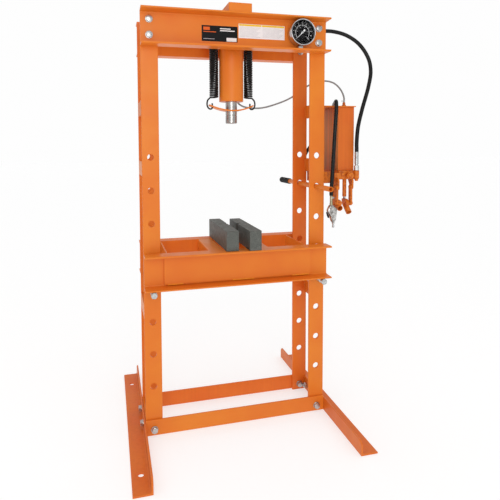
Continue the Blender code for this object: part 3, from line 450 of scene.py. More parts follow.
def hexagon(flats, centre, axis, low, high, bore=0.0, bm=None, ends=(True, True)):
    """A hexagonal nut or bolt head with chamfered faces."""
    bm = bm or bmesh.new()
    sides = 48
    slope = math.tan(math.radians(30))
    flat = flats / 2 * 0.95
    rings = []
    for level, chamfered in ((low, ends[0]), (high, ends[1])):
        inward = 1 if level == low else -1
        inner, outer = [], []
        for i in range(sides):
            turn = 2 * math.pi * i / sides
            radius = hex_radius(flats, turn)
            top = min(radius, flat) if chamfered else radius * 0.999
            drop = (radius - flat) * slope if chamfered else 0.0
            inner.append((top, turn, level))
            outer.append((radius, turn, level + inward * max(drop, 0.0)))
        rings += [inner, outer] if level == low else [outer, inner]
    built = []
    for ring in rings:
        points = []
        for radius, turn, along in ring:
            a = centre[0] + radius * math.cos(turn)
            b = centre[1] + radius * math.sin(turn)
            points.append(bm.verts.new(along_axis(axis, a, b, along)))
        built.append(points)
    for first, second in zip(built, built[1:]):
        bridge(bm, first, second)
    caps = []
    for level in (low, high):
        cap = []
        for i in range(sides if bore else 1):
            turn = 2 * math.pi * i / sides
            a = centre[0] + bore * math.cos(turn)
            b = centre[1] + bore * math.sin(turn)
            cap.append(bm.verts.new(along_axis(axis, a, b, level)))
        caps.append(cap)
    bridge(bm, caps[0], built[0])
    bridge(bm, built[-1], caps[1])
    if bore:
        bridge(bm, caps[1], caps[0])
    bmesh.ops.recalc_face_normals(bm, faces=bm.faces)
    return bm


def block(low, high, round_by=0.0, steps=2, bm=None):
    """A block between two corners, with its edges rounded."""
    fresh = bmesh.new()
    bmesh.ops.create_cube(fresh, size=1.0)
    low, high = Vector(low), Vector(high)
    for vert in fresh.verts:
        vert.co = Vector(low[i] + (vert.co[i] + 0.5) * (high[i] - low[i]) for i in range(3))
    if round_by:
        bmesh.ops.bevel(fresh, geom=fresh.edges[:], offset=round_by, segments=steps,
                        profile=0.5, affect="EDGES", clamp_overlap=True)
    return merged(bm, fresh)


def merged(bm, fresh):
    """Add one mesh to another, or start with it."""
    if bm is None:
        return fresh
    mesh = bpy.data.meshes.new("part")
    fresh.to_mesh(mesh)
    fresh.free()
    bm.from_mesh(mesh)
    bpy.data.meshes.remove(mesh)
    return bm


def refined(node, material, width=0.0008, steps=2, name=None):
    """A copy of a CAD piece with its sharp edges rounded, in place of the CAD piece."""
    source = frame["nodes"][node]
    bm = bmesh.new()
    bm.from_mesh(source.data)
    bmesh.ops.remove_doubles(bm, verts=bm.verts, dist=1e-5)
    bmesh.ops.dissolve_limit(bm, angle_limit=math.radians(1.0), verts=bm.verts, edges=bm.edges)
    sharp = [edge for edge in bm.edges if edge.calc_face_angle(0.0) > math.radians(30)]
    bmesh.ops.bevel(bm, geom=sharp, offset=width, segments=steps, profile=0.5,
                    affect="EDGES", clamp_overlap=True)
    for face in bm.faces:
        face.material_index = 0
    obj = piece(name or node + "_skin", bm, material, source["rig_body"], node=node)
    return even_normals(obj)


def wire(name, points, radius, material, body, sides=4):
    """A round cord or wire on one smooth open spline."""
    curve = bpy.data.curves.new(name, "CURVE")
    curve.dimensions = "3D"
    curve.bevel_depth = radius
    curve.bevel_resolution = sides
    curve.use_fill_caps = True
    spline = curve.splines.new("POLY")
    spline.points.add(len(points) - 1)
    for point, place in zip(spline.points, points):
        point.co = (*place, 1.0)
    spline.use_smooth = True
    obj = bpy.data.objects.new(name, curve)
    bpy.context.scene.collection.objects.link(obj)
    curve.materials.append(material)
    if body:
        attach(obj, body)
    return obj


def smooth_line(route, spacing):
    """Evenly spaced points on a centripetal curve through the route points."""
    route = [Vector(p) for p in route]
    ends = [route[0] * 2 - route[1]] + route + [route[-1] * 2 - route[-2]]
    dense = [route[0]]
    for i in range(1, len(ends) - 2):
        for step in range(1, 41):
            dense.append(curve_point(ends[i - 1:i + 3], step / 40))
    lengths = [0.0]
    for a, b in zip(dense, dense[1:]):
        lengths.append(lengths[-1] + (b - a).length)
    count = max(2, round(lengths[-1] / spacing))
    points = []
    index = 0
    for k in range(count + 1):
        wanted = lengths[-1] * k / count
        while index < len(dense) - 2 and lengths[index + 1] < wanted:
            index += 1
        span = lengths[index + 1] - lengths[index]
        points.append(dense[index].lerp(dense[index + 1], (wanted - lengths[index]) / span))
    return points


def curve_point(four, part):
    """A point between the middle two of four points, centripetal spacing."""
    times = [0.0]
    for a, b in zip(four, four[1:]):
        times.append(times[-1] + max((b - a).length, 1e-6) ** 0.5)
    t = times[1] + (times[2] - times[1]) * part
    first = [mid(four[i], four[i + 1], times[i], times[i + 1], t) for i in range(3)]
    second = [mid(first[i], first[i + 1], times[i], times[i + 2], t) for i in range(2)]
    return mid(second[0], second[1], times[1], times[2], t)


def mid(first, second, start, stop, t):
    """The point between two points at one time of the curve."""
    return (first * (stop - t) + second * (t - start)) / (stop - start)


# ---------------------------------------------------------------------- camera
def make_camera():
    """A camera in front of the press, left of its middle, just above eye level."""
    height, back, left = 1.2155, 2.012, 0.5297
    pitch, roll, yaw = 0.0562, -0.0053, -0.246
    focal = 467.8691
    middle = (226.2153, 170.048)
    data = bpy.data.cameras.new("camera")
    data.sensor_width = SENSOR
    data.lens = focal / IMAGE_SIDE * SENSOR
    data.shift_x = (IMAGE_SIDE / 2 - middle[0]) / IMAGE_SIDE
    data.shift_y = (middle[1] - IMAGE_SIDE / 2) / IMAGE_SIDE
    camera = bpy.data.objects.new("camera", data)
    aim = Euler((math.pi / 2 - pitch, 0.0, yaw), "XYZ").to_matrix()
    camera.matrix_world = Matrix.Translation((RAM_X - left, -back, height)) @ (
        aim @ Matrix.Rotation(roll, 3, "Z")).to_4x4()
    bpy.context.scene.collection.objects.link(camera)
    bpy.context.scene.camera = camera


# ----------------------------------------------------------------------- cords
def moved(route):
    """Route points given from the ram axis, in the frame's own coordinates."""
    return [Vector((x + RAM_X, y, z)) for x, y, z in route]


PRESSURE_ROUTE = [
    (0.5580, -0.1030, 1.1763), (0.5580, -0.1030, 1.1913), (0.5588, -0.1010, 1.2150),
    (0.5660, -0.0985, 1.2853), (0.5915, -0.0880, 1.3667), (0.6285, -0.0780, 1.4724),
    (0.6442, -0.0700, 1.5435), (0.6379, -0.0600, 1.6025), (0.5978, -0.0480, 1.6672),
    (0.5402, -0.0350, 1.7080), (0.4758, -0.0220, 1.7260), (0.4100, -0.0140, 1.7250),
    (0.3200, -0.0060, 1.7120), (0.2200, 0.0000, 1.6990), (0.1300, 0.0000, 1.6950),
    (0.0883, 0.0000, 1.6950)]
RETURN_ROUTE = [
    (0.0440, 0.0520, 1.4137), (0.0440, 0.0520, 1.4037), (0.0560, 0.0600, 1.3935),
    (0.0840, 0.0680, 1.3830), (0.1560, 0.0780, 1.3800), (0.2400, 0.0980, 1.4000),
    (0.3280, 0.1160, 1.4350), (0.4000, 0.1180, 1.4850), (0.4460, 0.0950, 1.5080),
    (0.4800, 0.0600, 1.5120), (0.5080, 0.0250, 1.4980), (0.5280, -0.0050, 1.4640),
    (0.5370, -0.0200, 1.4270), (0.5370, -0.0200, 1.4044)]
AIR_ROUTE = [
    (0.4225, -0.1260, 0.9843), (0.4225, -0.1260, 1.0050), (0.4280, -0.1260, 1.0900),
    (0.4340, -0.1250, 1.1900), (0.4420, -0.1220, 1.3000), (0.4480, -0.1190, 1.3700),
    (0.4520, -0.1090, 1.3980), (0.4690, -0.0700, 1.4020), (0.5000, 0.0000, 1.4010),
    (0.5330, 0.0720, 1.4020), (0.5470, 0.1060, 1.3930), (0.5500, 0.1180, 1.3700),
    (0.5380, 0.1340, 1.3100), (0.4950, 0.1480, 1.2500), (0.4440, 0.1500, 1.1980),
    (0.4150, 0.1500, 1.1480), (0.4200, 0.1500, 1.1000), (0.4480, 0.1540, 1.0730),
    (0.4820, 0.1530, 1.0680), (0.4990, 0.1340, 1.0680), (0.5000, 0.1150, 1.0680),
    (0.5000, 0.0983, 1.0680)]


def make_hose(name, node, route, radius, material):
    """One hose along its real route, in place of the CAD tube."""
    line = smooth_line(moved(route), radius * 0.9)
    hose = wire(name, line, radius, material, "frame", 5)
    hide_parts(node)
    return hose, line


def make_hoses():
    """The pressure hose, the thin return hose and the air hose."""
    pressure, line = make_hose("pressure_line", "pressure_hose", PRESSURE_ROUTE,
                               PRESSURE_RADIUS, HOSE_BLACK)
    ferrules = make_pressure_ends(line)
    thin, line = make_hose("return_line", "return_hose", RETURN_ROUTE, RETURN_RADIUS, HOSE_GREY)
    clamps = [make_clamp(line)]
    air, line = make_hose("air_line", "air_hose", AIR_ROUTE, AIR_RADIUS, AIR_BLACK)
    tools = make_air_valve()


def make_pressure_ends(line):
    """Swivel nut and crimped ferrule under the hose, and the ferrule at the barrel."""
    low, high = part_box("hose_fitting")
    centre = ((low.x + high.x) / 2, (low.y + high.y) / 2)
    bm = hexagon(0.0190, centre, "z", low.z, low.z + 0.022, 0.004)
    nut = piece("swivel_nut", bm, ZINC, "frame")
    profile = [(0.0, low.z + 0.020), (0.0075, low.z + 0.020), (0.0075, low.z + 0.028)]
    profile += [(0.0092, low.z + 0.030)]
    for ring in range(6):
        base = low.z + 0.035 + ring * 0.0070
        profile += [(0.0092, base), (0.0087, base + 0.0008)]
        profile += [(0.0087, base + 0.0024), (0.0092, base + 0.0032)]
    profile += [(0.0092, high.z - 0.002), (0.0082, high.z), (0.0, high.z)]
    bm = turned(profile, centre, "z")
    ferrule = piece("ferrule_pump", bm, ZINC, "frame", node="hose_fitting")
    end = line[-1]
    profile = [(0.0, end.x - 0.0002), (0.0090, end.x - 0.0002), (0.0094, end.x + 0.001)]
    profile += [(0.0094, end.x + 0.034), (0.0086, end.x + 0.036), (0.0, end.x + 0.036)]
    port = piece("ferrule_barrel", turned(profile, (end.y, end.z), "x"), ZINC, "frame")
    return [nut, ferrule, port]


def make_clamp(line):
    """Small spring clamp with two wings where the thin hose meets the breather."""
    end = line[-1]
    bm = turned([(0.0039, end.z + 0.004), (0.0052, end.z + 0.004), (0.0052, end.z + 0.009),
                 (0.0039, end.z + 0.009)], (end.x, end.y), "z", 32)
    for side in (-1, 1):
        wing = block((end.x - 0.0125, end.y - 0.0008 + side * 0.0022, end.z + 0.0042),
                     (end.x - 0.0030, end.y + 0.0008 + side * 0.0022, end.z + 0.0088), 0.0005)
        turn = Matrix.Rotation(math.radians(side * 12), 4, "Z")
        about = Matrix.Translation((end.x, end.y, 0.0))
        bmesh.ops.transform(wing, matrix=about @ turn @ about.inverted(), verts=wing.verts)
        bm = merged(bm, wing)
    return piece("hose_clamp", bm, ZINC, "frame")


def make_air_valve():
    """Cast hand valve on the air hose: ferrule, body, nozzle, screw and trigger."""
    low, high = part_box("air_valve")
    x, y = VALVE_X, (low.y + high.y) / 2
    profile = [(0.0, high.z - 0.046), (0.0070, high.z - 0.046), (0.0070, high.z - 0.034)]
    profile += [(0.0060, high.z - 0.031), (0.0060, high.z), (0.0, high.z)]
    bm = turned(rounded_profile(profile, 0.0008), (x, y), "z")
    ferrule = piece("air_ferrule", bm, OLIVE, "frame")
    body = valve_body(x, y, low.z)
    tip = x + 0.0105
    profile = [(0.0, low.z), (0.0022, low.z), (0.0042, low.z + 0.0015), (0.0050, low.z + 0.002)]
    profile += [(0.0050, low.z + 0.009), (0.0042, low.z + 0.011), (0.0042, low.z + 0.016)]
    profile += [(0.0062, low.z + 0.020), (0.0062, low.z + 0.030), (0.0, low.z + 0.030)]
    nozzle = piece("air_nozzle", turned(profile, (tip, y), "z", 48), ZINC, "frame")
    profile = [(0.0, y - 0.0125), (0.0026, y - 0.0122), (0.0032, y - 0.0112)]
    profile += [(0.0032, y - 0.0100), (0.0, y - 0.0100)]
    bm = turned(profile, (x + 0.005, low.z + 0.074), "y", 32)
    screw = piece("valve_screw", bm, ZINC, "frame")
    trigger = refined("air_valve_trigger", GRIP_BLACK, 0.0012, 3, "valve_trigger")
    return [ferrule, body, nozzle, screw, trigger]


def valve_body(x, y, base):
    """The rounded casting between the ferrule and the nozzle."""
    outline = [(-0.008, 0.104), (-0.012, 0.098), (-0.0205, 0.082), (-0.0205, 0.074)]
    outline += [(-0.010, 0.060), (-0.004, 0.044), (-0.001, 0.028), (0.006, 0.022), (0.0165, 0.022)]
    outline += [(0.022, 0.034), (0.0240, 0.056), (0.0268, 0.074), (0.0262, 0.088), (0.012, 0.096)]
    outline += [(0.008, 0.104)]
    bm = bmesh.new()
    rings = []
    middle = Vector((0.006, 0.068))
    for depth, share in ((-0.0108, 0.55), (-0.0108, 0.72), (-0.0085, 0.93), (-0.004, 1.0),
                         (0.004, 1.0), (0.0085, 0.93), (0.0108, 0.72), (0.0108, 0.55)):
        ring = []
        for a, b in outline:
            spot = middle + (Vector((a, b)) - middle) * share
            ring.append(bm.verts.new((x + spot.x, y + depth, base + spot.y)))
        rings.append(ring)
    for first, second in zip(rings, rings[1:]):
        bridge(bm, first, second)
    bm.faces.new(rings[0])
    bm.faces.new(rings[-1])
    bmesh.ops.recalc_face_normals(bm, faces=bm.faces)
    body = piece("valve_body", bm, ALLOY, "frame", node="air_valve")
    change = body.modifiers.new("soften", "SUBSURF")
    change.levels = 2
    change.render_levels = 2
    return body


# ------------------------------------------------------------------- fasteners
def washer_ring(centre, face, way, axis, hole=0.0088):
    """A washer lying on a face, on the side that way points to."""
    low, high = sorted((face + way * 0.0001, face + way * 0.0029))
    profile = [(hole, low), (WASHER_RADIUS, low), (WASHER_RADIUS, high), (hole, high)]
    return turned(rounded_profile(profile, 0.0006, 2), centre, axis, 48)


def bolt_set(name, centre, outer, inner, outward, node=None):
    """A bolt through plates along Y: head and washer outside, washer and nut inside."""
    head = sorted((outer + outward * 0.0030, outer + outward * 0.0130))
    bm = hexagon(M16_FLATS, centre, "y", *head, ends=(outward < 0, outward > 0))
    shank = sorted((outer + outward * 0.0030, inner - outward * 0.020))
    bm = merged(bm, thread(centre, *shank, 0.0080))
    piece(name, bm, ZINC, "frame", node=node)
    for label, face, way in (("washer_out", outer, outward), ("washer_in", inner, -outward)):
        ring = washer_ring(centre, face, way, "y")
        piece(name + "_" + label, ring, ZINC, "frame")
    low, high = sorted((inner - outward * 0.0030, inner - outward * 0.0160))
    nut = hexagon(M16_FLATS, centre, "y", low, high, 0.0079)
    piece(name + "_nut", nut, ZINC, "frame")


def thread(centre, low, high, radius, axis="y"):
    """A bolt shank with shallow thread rings along it."""
    pitch = 0.0020
    profile = [(0.0, low), (radius - 0.0012, low), (radius, low + 0.0012)]
    count = int((high - low - 0.0030) / pitch)
    for i in range(count):
        base = low + 0.0014 + i * pitch
        profile += [(radius, base), (radius - 0.0009, base + pitch / 2)]
    profile += [(radius, high - 0.0012), (radius - 0.0012, high), (0.0, high)]
    return turned(profile, centre, axis, 32)


def make_frame_bolts():
    """Bolts of the crosshead and the spreaders, front and rear."""
    strip_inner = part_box("column_front_left")[1].y
    spreader_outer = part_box("spreader_front")[0].y
    for name, side in (("left", -1), ("right", 1)):
        x = RAM_X + side * HOLE_X
        for level in ("upper", "lower"):
            low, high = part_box("crosshead_bolt_left_" + level)
            centre = (x, (low.z + high.z) / 2)
            label = name + "_" + level
            node = "crosshead_bolt_" + label
            bolt_set("bolt_front_" + label, centre, WEB_FACE, strip_inner, -1, node)
            bolt_set("bolt_rear_" + label, centre, -WEB_FACE, -strip_inner, 1)
        for end_name, end in (("front", -1), ("rear", 1)):
            label = "bolt_spreader_%s_%s" % (end_name, name)
            bolt_set(label, (x, SPREADER_BOLT_Z), -end * spreader_outer, -end * strip_inner, end)


def make_foot_bolts():
    """Bolts through each foot's upright leg and the column's foot plate."""
    for name, side in (("left", -1), ("right", 1)):
        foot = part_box("foot_" + name)
        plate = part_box("foot_plate_" + name)
        inner, near = (plate[1].x, foot[1].x) if side < 0 else (plate[0].x, foot[0].x)
        outer = near + side * FOOT_THICK
        for number, y in enumerate(FOOT_BOLTS):
            centre = (y, FOOT_BOLT_Z)
            span = sorted((outer + side * 0.003, outer + side * 0.013))
            bm = hexagon(M16_FLATS, centre, "x", *span, ends=(side < 0, side > 0))
            span = sorted((outer + side * 0.003, inner - side * 0.019))
            bm = merged(bm, thread(centre, *span, 0.0080, "x"))
            bm = merged(bm, washer_ring(centre, outer, side, "x", 0.0085))
            span = sorted((inner - side * 0.0002, inner - side * 0.0132))
            bm = merged(bm, hexagon(M16_FLATS, centre, "x", *span, 0.0079))
            piece("bolt_foot_%s_%d" % (name, number), bm, ZINC, "frame")


# ------------------------------------------------------------------ weld beads
def weld_bead(name, start, stop, radius=0.0026, body="frame", seed=0, paint=PAINT):
    """A rippled fillet of weld between two points."""
    start, stop = Vector(start), Vector(stop)
    direction = (stop - start).normalized()
    side = direction.orthogonal().normalized()
    up = direction.cross(side)
    length = (stop - start).length
    count = max(6, round(length / 0.0012))
    bm = bmesh.new()
    rings = []
    for i in range(count + 1):
        along = length * i / count
        taper = min(1.0, (along + 0.0006) / 0.004, (length - along + 0.0006) / 0.004)
        ripple = 0.88 + 0.12 * math.cos(2 * math.pi * along / 0.0042)
        wander = 1.0 + 0.22 * noise.noise(Vector((along * 90.0, seed * 7.3, 0.5)))
        reach = radius * math.sqrt(taper) * ripple * wander
        spot = start + direction * along
        ring = []
        for k in range(10):
            turn = 2 * math.pi * k / 10
            ring.append(bm.verts.new(spot + (side * math.cos(turn) + up * math.sin(turn)) * reach))
        rings.append(ring)
    for first, second in zip(rings, rings[1:]):
        bridge(bm, first, second)
    bm.faces.new(rings[0])
    bm.faces.new(rings[-1])
    bmesh.ops.recalc_face_normals(bm, faces=bm.faces)
    piece(name, bm, paint, body, angle=70.0)


def upright_bead(name, x, y, span, radius, body, seed):
    """An upright bead at one corner."""
    weld_bead(name, (x, y, span[0]), (x, y, span[1]), radius, body, seed)


def make_batten_welds():
    """Upright beads where each batten meets the front and rear strips."""
    for name in ("left", "right"):
        nodes = ["batten_%s_%d" % (name, number) for number in (1, 2, 3)] + ["foot_plate_" + name]
        for count, node in enumerate(nodes):
            low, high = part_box(node)
            x = high.x if name == "left" else low.x
            span = (low.z + 0.003, high.z - 0.003)
            upright_bead("weld_%s_front" % node, x, low.y, span, 0.0030, "frame", count * 2)
            upright_bead("weld_%s_rear" % node, x, high.y, span, 0.0030, "frame", count * 2 + 1)


def make_bed_welds():
    """Stitches along the bed's cover plate, end plates and spacers."""
    low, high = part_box("bed_front_plate")
    y = low.y + 0.0035
    for edge, z in (("lower", low.z), ("upper", high.z)):
        for number, span in enumerate(COVER_STITCHES):
            start, stop = [(RAM_X + x, y, z) for x in span]
            name = "weld_cover_%s_%d" % (edge, number)
            # The cover plate's stitches take the lighter enamel, a painted highlight.
            weld_bead(name, start, stop, 0.0046, "bed", number, WELD_HIGHLIGHT_PAINT)
    kinds = ("bed_end_plate_", "bed_spacer_")
    plates = [kind + side for kind in kinds for side in ("left", "right")]
    for node in plates:
        low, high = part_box(node)
        span = (high.z - 0.050, high.z - 0.006)
        for side, x in (("a", low.x), ("b", high.x)):
            name = "weld_%s_%s" % (node, side)
            upright_bead(name + "_front", x, low.y, span, 0.0026, "bed", len(node))
            upright_bead(name + "_rear", x, high.y, span, 0.0026, "bed", len(node) + 1)


def make_crosshead_welds():
    """Beads round the foot of the saddle."""
    low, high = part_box("crosshead_saddle")
    corners = [Vector((x, y, low.z)) for x, y in
               ((low.x, low.y), (high.x, low.y), (high.x, high.y), (low.x, high.y))]
    for i, corner in enumerate(corners):
        beyond = corners[(i + 1) % 4]
        start, stop = corner.lerp(beyond, 0.06), corner.lerp(beyond, 0.94)
        weld_bead("weld_saddle_%d" % i, start, stop, 0.0030, seed=i)


# -------------------------------------------------------------------- cylinder
def make_cylinder():
    """Barrel, mounting plate, ports and the ram in finer round shapes."""
    low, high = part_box("cylinder_barrel")
    centre = (RAM_X, 0.0)
    radius, bore = BARREL_RADIUS, BARREL_BORE
    profile = [(bore, low.z), (radius, low.z), (radius, high.z), (bore, high.z)]
    tube = turned(rounded_profile(profile, 0.0018, 4), centre, "z", 96)
    piece("barrel_tube", tube, PAINT, "frame", node="cylinder_barrel")
    plate = bored_plate(centre, MOUNT_HALF, bore + 0.0013, *MOUNT_Z)
    even_normals(piece("barrel_plate", plate, PAINT, "frame"))
    base = MOUNT_Z[0]
    collar = [(radius - 0.001, base - 0.0030), (radius + 0.0035, base)]
    collar += [(radius - 0.001, base + 0.0001)]
    piece("barrel_weld", turned(collar, centre, "z", 96), PAINT, "frame")
    start, stop = RAM_X + radius - 0.004, RAM_X + PORT_END
    neck = rounded_profile([(0.0, start), (0.0115, start), (0.0115, stop), (0.0, stop)], 0.001)
    piece("pressure_port", turned(neck, (0.0, PORT_Z), "x"), PAINT, "frame")
    lip = low.z + 0.0003
    wiper = [(bore, low.z), (0.0325, lip), (0.0325, low.z + 0.004), (bore, low.z + 0.004)]
    piece("rod_wiper", turned(wiper, centre, "z"), GRIP_BLACK, "frame")
    make_return_port()
    make_ram(centre)


def round_node(node, axis):
    """Box of a round CAD node, its centre as seen along the axis, and its radius."""
    low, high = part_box(node)
    across = "xz" if axis == "y" else "xy"
    centre = tuple((getattr(low, way) + getattr(high, way)) / 2 for way in across)
    return low, high, centre, (high.x - low.x) / 2


def bored_plate(centre, half, bore, low, high):
    """A rectangular plate with a round hole in its middle."""
    corner = math.atan2(half[1], half[0])
    turns = [2 * math.pi * i / ROUND for i in range(ROUND)]
    turns = sorted(turns + [corner, math.pi - corner, math.pi + corner, 2 * math.pi - corner])
    bm = bmesh.new()
    rings = [[], [], [], []]
    for turn in turns:
        across, along = math.cos(turn), math.sin(turn)
        reach = min(half[0] / max(abs(across), 1e-9), half[1] / max(abs(along), 1e-9))
        spots = ((reach, low), (reach, high), (bore, high), (bore, low))
        for ring, (radius, level) in zip(rings, spots):
            x, y = centre[0] + radius * across, centre[1] + radius * along
            ring.append(bm.verts.new((x, y, level)))
    for first, second in zip(rings, rings[1:] + rings[:1]):
        bridge(bm, first, second)
    bmesh.ops.recalc_face_normals(bm, faces=bm.faces)
    return bm


def make_return_port():
    """Elbow at the back of the barrel that takes the thin hose."""
    x, y, z = RAM_X + 0.044, 0.052, 1.4140
    profile = rounded_profile([(0.0, z), (0.0055, z), (0.0055, z + 0.014), (0.0075, z + 0.014),
                               (0.0075, z + 0.031), (0.0, z + 0.031)], 0.0008, 2)
    bm = turned(profile, (x, y), "z", 48)
    elbow = [(0.0, 0.040), (0.0070, 0.040), (0.0070, 0.072), (0.0, 0.072)]
    arm = turned(elbow, (0.0, z + 0.024), "y", 48)
    turn = Matrix.Translation((RAM_X, 0.0, 0.0)) @ Matrix.Rotation(math.radians(-40), 4, "Z")
    bmesh.ops.transform(arm, matrix=turn, verts=arm.verts)
    piece("return_port", merged(bm, arm), PAINT, "frame")


def make_ram(centre):
    """Polished ram with its head groove and chamfered end."""
    low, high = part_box("ram")
    radius = (high.x - low.x) / 2
    neck = radius - 0.0012
    head = low.z + 0.036
    profile = [(0.0, low.z), (radius - 0.0025, low.z), (radius, low.z + 0.0025)]
    profile += [(radius, head - 0.0012), (neck, head - 0.0004), (neck, head + 0.0016)]
    profile += [(radius, head + 0.0024), (radius, high.z), (0.0, high.z)]
    bm = turned(profile, centre, "z", 96)
    piece("ram_rod", bm, TURNED_STEEL, "ram_unit", node="ram")


def make_springs():
    """Return springs that stretch between the mounting plate and the yoke."""
    per_turn = 28
    total = SPRING_TURNS * per_turn
    for name, side in (("left", -1), ("right", 1)):
        points = smooth_line([(x, 0.0, z) for x, z in SPRING_HOOK], 0.0015)
        for i in range(total + 1):
            turn = 2 * math.pi * i / per_turn
            height = SPRING_Z[0] + (SPRING_Z[1] - SPRING_Z[0]) * i / total
            across = SPRING_X + SPRING_RADIUS * math.cos(turn)
            points.append(Vector((across, SPRING_RADIUS * math.sin(turn), height)))
        end = [points[-1]] + [(SPRING_X + x, 0.0, z) for x, z in SPRING_END]
        points += smooth_line(end, 0.0015)[1:]
        points = [Vector((RAM_X + side * p.x, p.y, p.z)) for p in points]
        curve = wire("spring_wire_" + name, points, SPRING_WIRE, SPRING_BLACK, None, 3)
        spring = as_mesh(curve, "spring_coil_" + name)
        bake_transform(spring)
        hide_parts("return_spring_" + name)


def as_mesh(curve, name):
    """Turn a curve object into a mesh object."""
    graph = bpy.context.evaluated_depsgraph_get()
    mesh = bpy.data.meshes.new_from_object(curve.evaluated_get(graph))
    obj = bpy.data.objects.new(name, mesh)
    bpy.context.scene.collection.objects.link(obj)
    bpy.data.objects.remove(curve, do_unlink=True)
    for face in mesh.polygons:
        face.use_smooth = True
    return obj


# ----------------------------------------------------------------------- gauge
def make_gauge():
    """Chrome case and bezel, black dial with marks and numbers, glass, needle."""
    low, high, centre, rim = round_node("gauge_case", "y")
    back, front = high.y, low.y
    wall, bore = rim - 0.0022, rim - 0.0062
    case = [(0.0, back), (wall - 0.004, back), (wall, back - 0.004), (wall, front + 0.0090)]
    case += [(bore, front + 0.0090), (bore, front + 0.0150), (0.0, front + 0.0150)]
    bm = turned(rounded_profile(case, 0.0008), centre, "y", 96)
    piece("gauge_body", bm, CHROME, "frame", node="gauge_case")
    bezel = [(bore, front + 0.0120), (rim - 0.0010, front + 0.0120), (rim, front + 0.0100)]
    bezel += [(rim, front + 0.0036), (rim - 0.0012, front + 0.0010), (rim - 0.0030, front)]
    bezel += [(rim - 0.0050, front + 0.0010), (bore, front + 0.0036)]
    bm = turned(rounded_profile(bezel, 0.0012), centre, "y", 96)
    piece("gauge_bezel", bm, CHROME, "frame")
    face = front + 0.0147
    edge = rim - 0.0064
    dial = [(0.0, face + 0.0002), (edge, face + 0.0002), (edge, face), (0.0, face)]
    piece("dial_face", turned(dial, centre, "y", 96), PRINT_BLACK, "frame")
    make_dial_marks(centre, face)
    make_gauge_window(centre)
    make_needle(centre, face)
    low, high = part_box("gauge_stem")
    middle = ((low.x + high.x) / 2, (low.y + high.y) / 2)
    bm = hexagon(0.019, middle, "z", low.z, high.z)
    piece("gauge_nut", bm, ALLOY, "frame", node="gauge_stem")


def make_gauge_window(centre):
    """The slightly domed glass."""
    low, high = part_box("gauge_lens")
    reach = (high.x - low.x) / 2
    glass = [(0.0, high.y), (reach, high.y), (reach, low.y + 0.0008)]
    glass += [(reach * 0.5, low.y + 0.0002), (0.0, low.y)]
    bm = turned(glass, centre, "y", 96)
    piece("gauge_window", bm, GLASS, "frame", angle=60.0, node="gauge_lens")


def dial_point(centre, radius, turn):
    """A point on the dial, with the angle from +X towards +Z."""
    return (centre[0] + radius * math.cos(turn), centre[1] + radius * math.sin(turn))


def dial_stroke(bm, centre, face, turn, inner, outer, half):
    """One raised radial mark."""
    across = Vector((-math.sin(turn), math.cos(turn))) * half
    corners = []
    for radius, way in ((inner, -1), (outer, -1), (outer, 1), (inner, 1)):
        spot = Vector(dial_point(centre, radius, turn)) + across * way
        corners.append(spot)
    rings = []
    for y in (face - 0.00002, face - 0.00018):
        rings.append([bm.verts.new((p.x, y, p.y)) for p in corners])
    bridge(bm, rings[0], rings[1])
    bm.faces.new(rings[0])
    bm.faces.new(rings[1])


def dial_arc(bm, centre, face, inner, outer, start, stop):
    """A raised ring segment between two angles, in degrees."""
    steps = 72
    rings = []
    for i in range(steps + 1):
        turn = math.radians(start + (stop - start) * i / steps)
        corners = []
        for radius, y in ((inner, face - 0.00002), (outer, face - 0.00002),
                          (outer, face - 0.00018), (inner, face - 0.00018)):
            x, z = dial_point(centre, radius, turn)
            corners.append(bm.verts.new((x, y, z)))
        rings.append(corners)
    for first, second in zip(rings, rings[1:]):
        bridge(bm, first, second)
    bm.faces.new(rings[0])
    bm.faces.new(rings[-1])


def make_dial_marks(centre, face):
    """Outer marks with numbers, an inner ring scale, on a sweep of 270 degrees."""
    bm = bmesh.new()
    dial_arc(bm, centre, face, 0.0298, 0.0308, DIAL_START, DIAL_START - DIAL_SWEEP)
    count = DIAL_NUMBERS * 5
    for i in range(count + 1):
        turn = math.radians(DIAL_START - DIAL_SWEEP * i / count)
        major = i % 5 == 0
        inner, half = (0.0270, 0.00042) if major else (0.0300, 0.00022)
        dial_stroke(bm, centre, face, turn, inner, 0.0335, half)
        inner, half = (0.0425, 0.00035) if major else (0.0440, 0.00018)
        dial_stroke(bm, centre, face, turn, inner, 0.0455, half)
    bmesh.ops.recalc_face_normals(bm, faces=bm.faces)
    piece("dial_marks", bm, PRINT_WHITE, "frame", smooth=False)
    rings = (("dial_number", 1, 2, 0.0385, 0.0062), ("dial_inner", 2, 3, 0.0232, 0.0044))
    for name, step, factor, radius, size in rings:
        for i in range(0, DIAL_NUMBERS + 1, step):
            turn = math.radians(DIAL_START - DIAL_SWEEP * i / DIAL_NUMBERS)
            spot = dial_point(centre, radius, turn)
            dial_number("%s_%d" % (name, i), str(i * factor), spot, face, size)


def dial_number(name, text, spot, face, size):
    """One number on the dial."""
    curve = bpy.data.curves.new(name + "_text", "FONT")
    curve.body = text
    curve.size = size
    curve.align_x = "CENTER"
    curve.align_y = "CENTER"
    curve.extrude = 0.00008
    curve.resolution_u = 4
    label = bpy.data.objects.new(name + "_text", curve)
    bpy.context.scene.collection.objects.link(label)
    upright = Matrix.Rotation(math.pi / 2, 4, "X")
    label.matrix_world = Matrix.Translation((spot[0], face - 0.0001, spot[1])) @ upright
    bpy.context.view_layer.update()
    graph = bpy.context.evaluated_depsgraph_get()
    mesh = bpy.data.meshes.new_from_object(label.evaluated_get(graph))
    mesh.transform(label.matrix_world)
    obj = bpy.data.objects.new(name, mesh)
    bpy.context.scene.collection.objects.link(obj)
    bpy.data.objects.remove(label, do_unlink=True)
    mesh.materials.clear()
    mesh.materials.append(PRINT_WHITE)
    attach(obj, "frame")


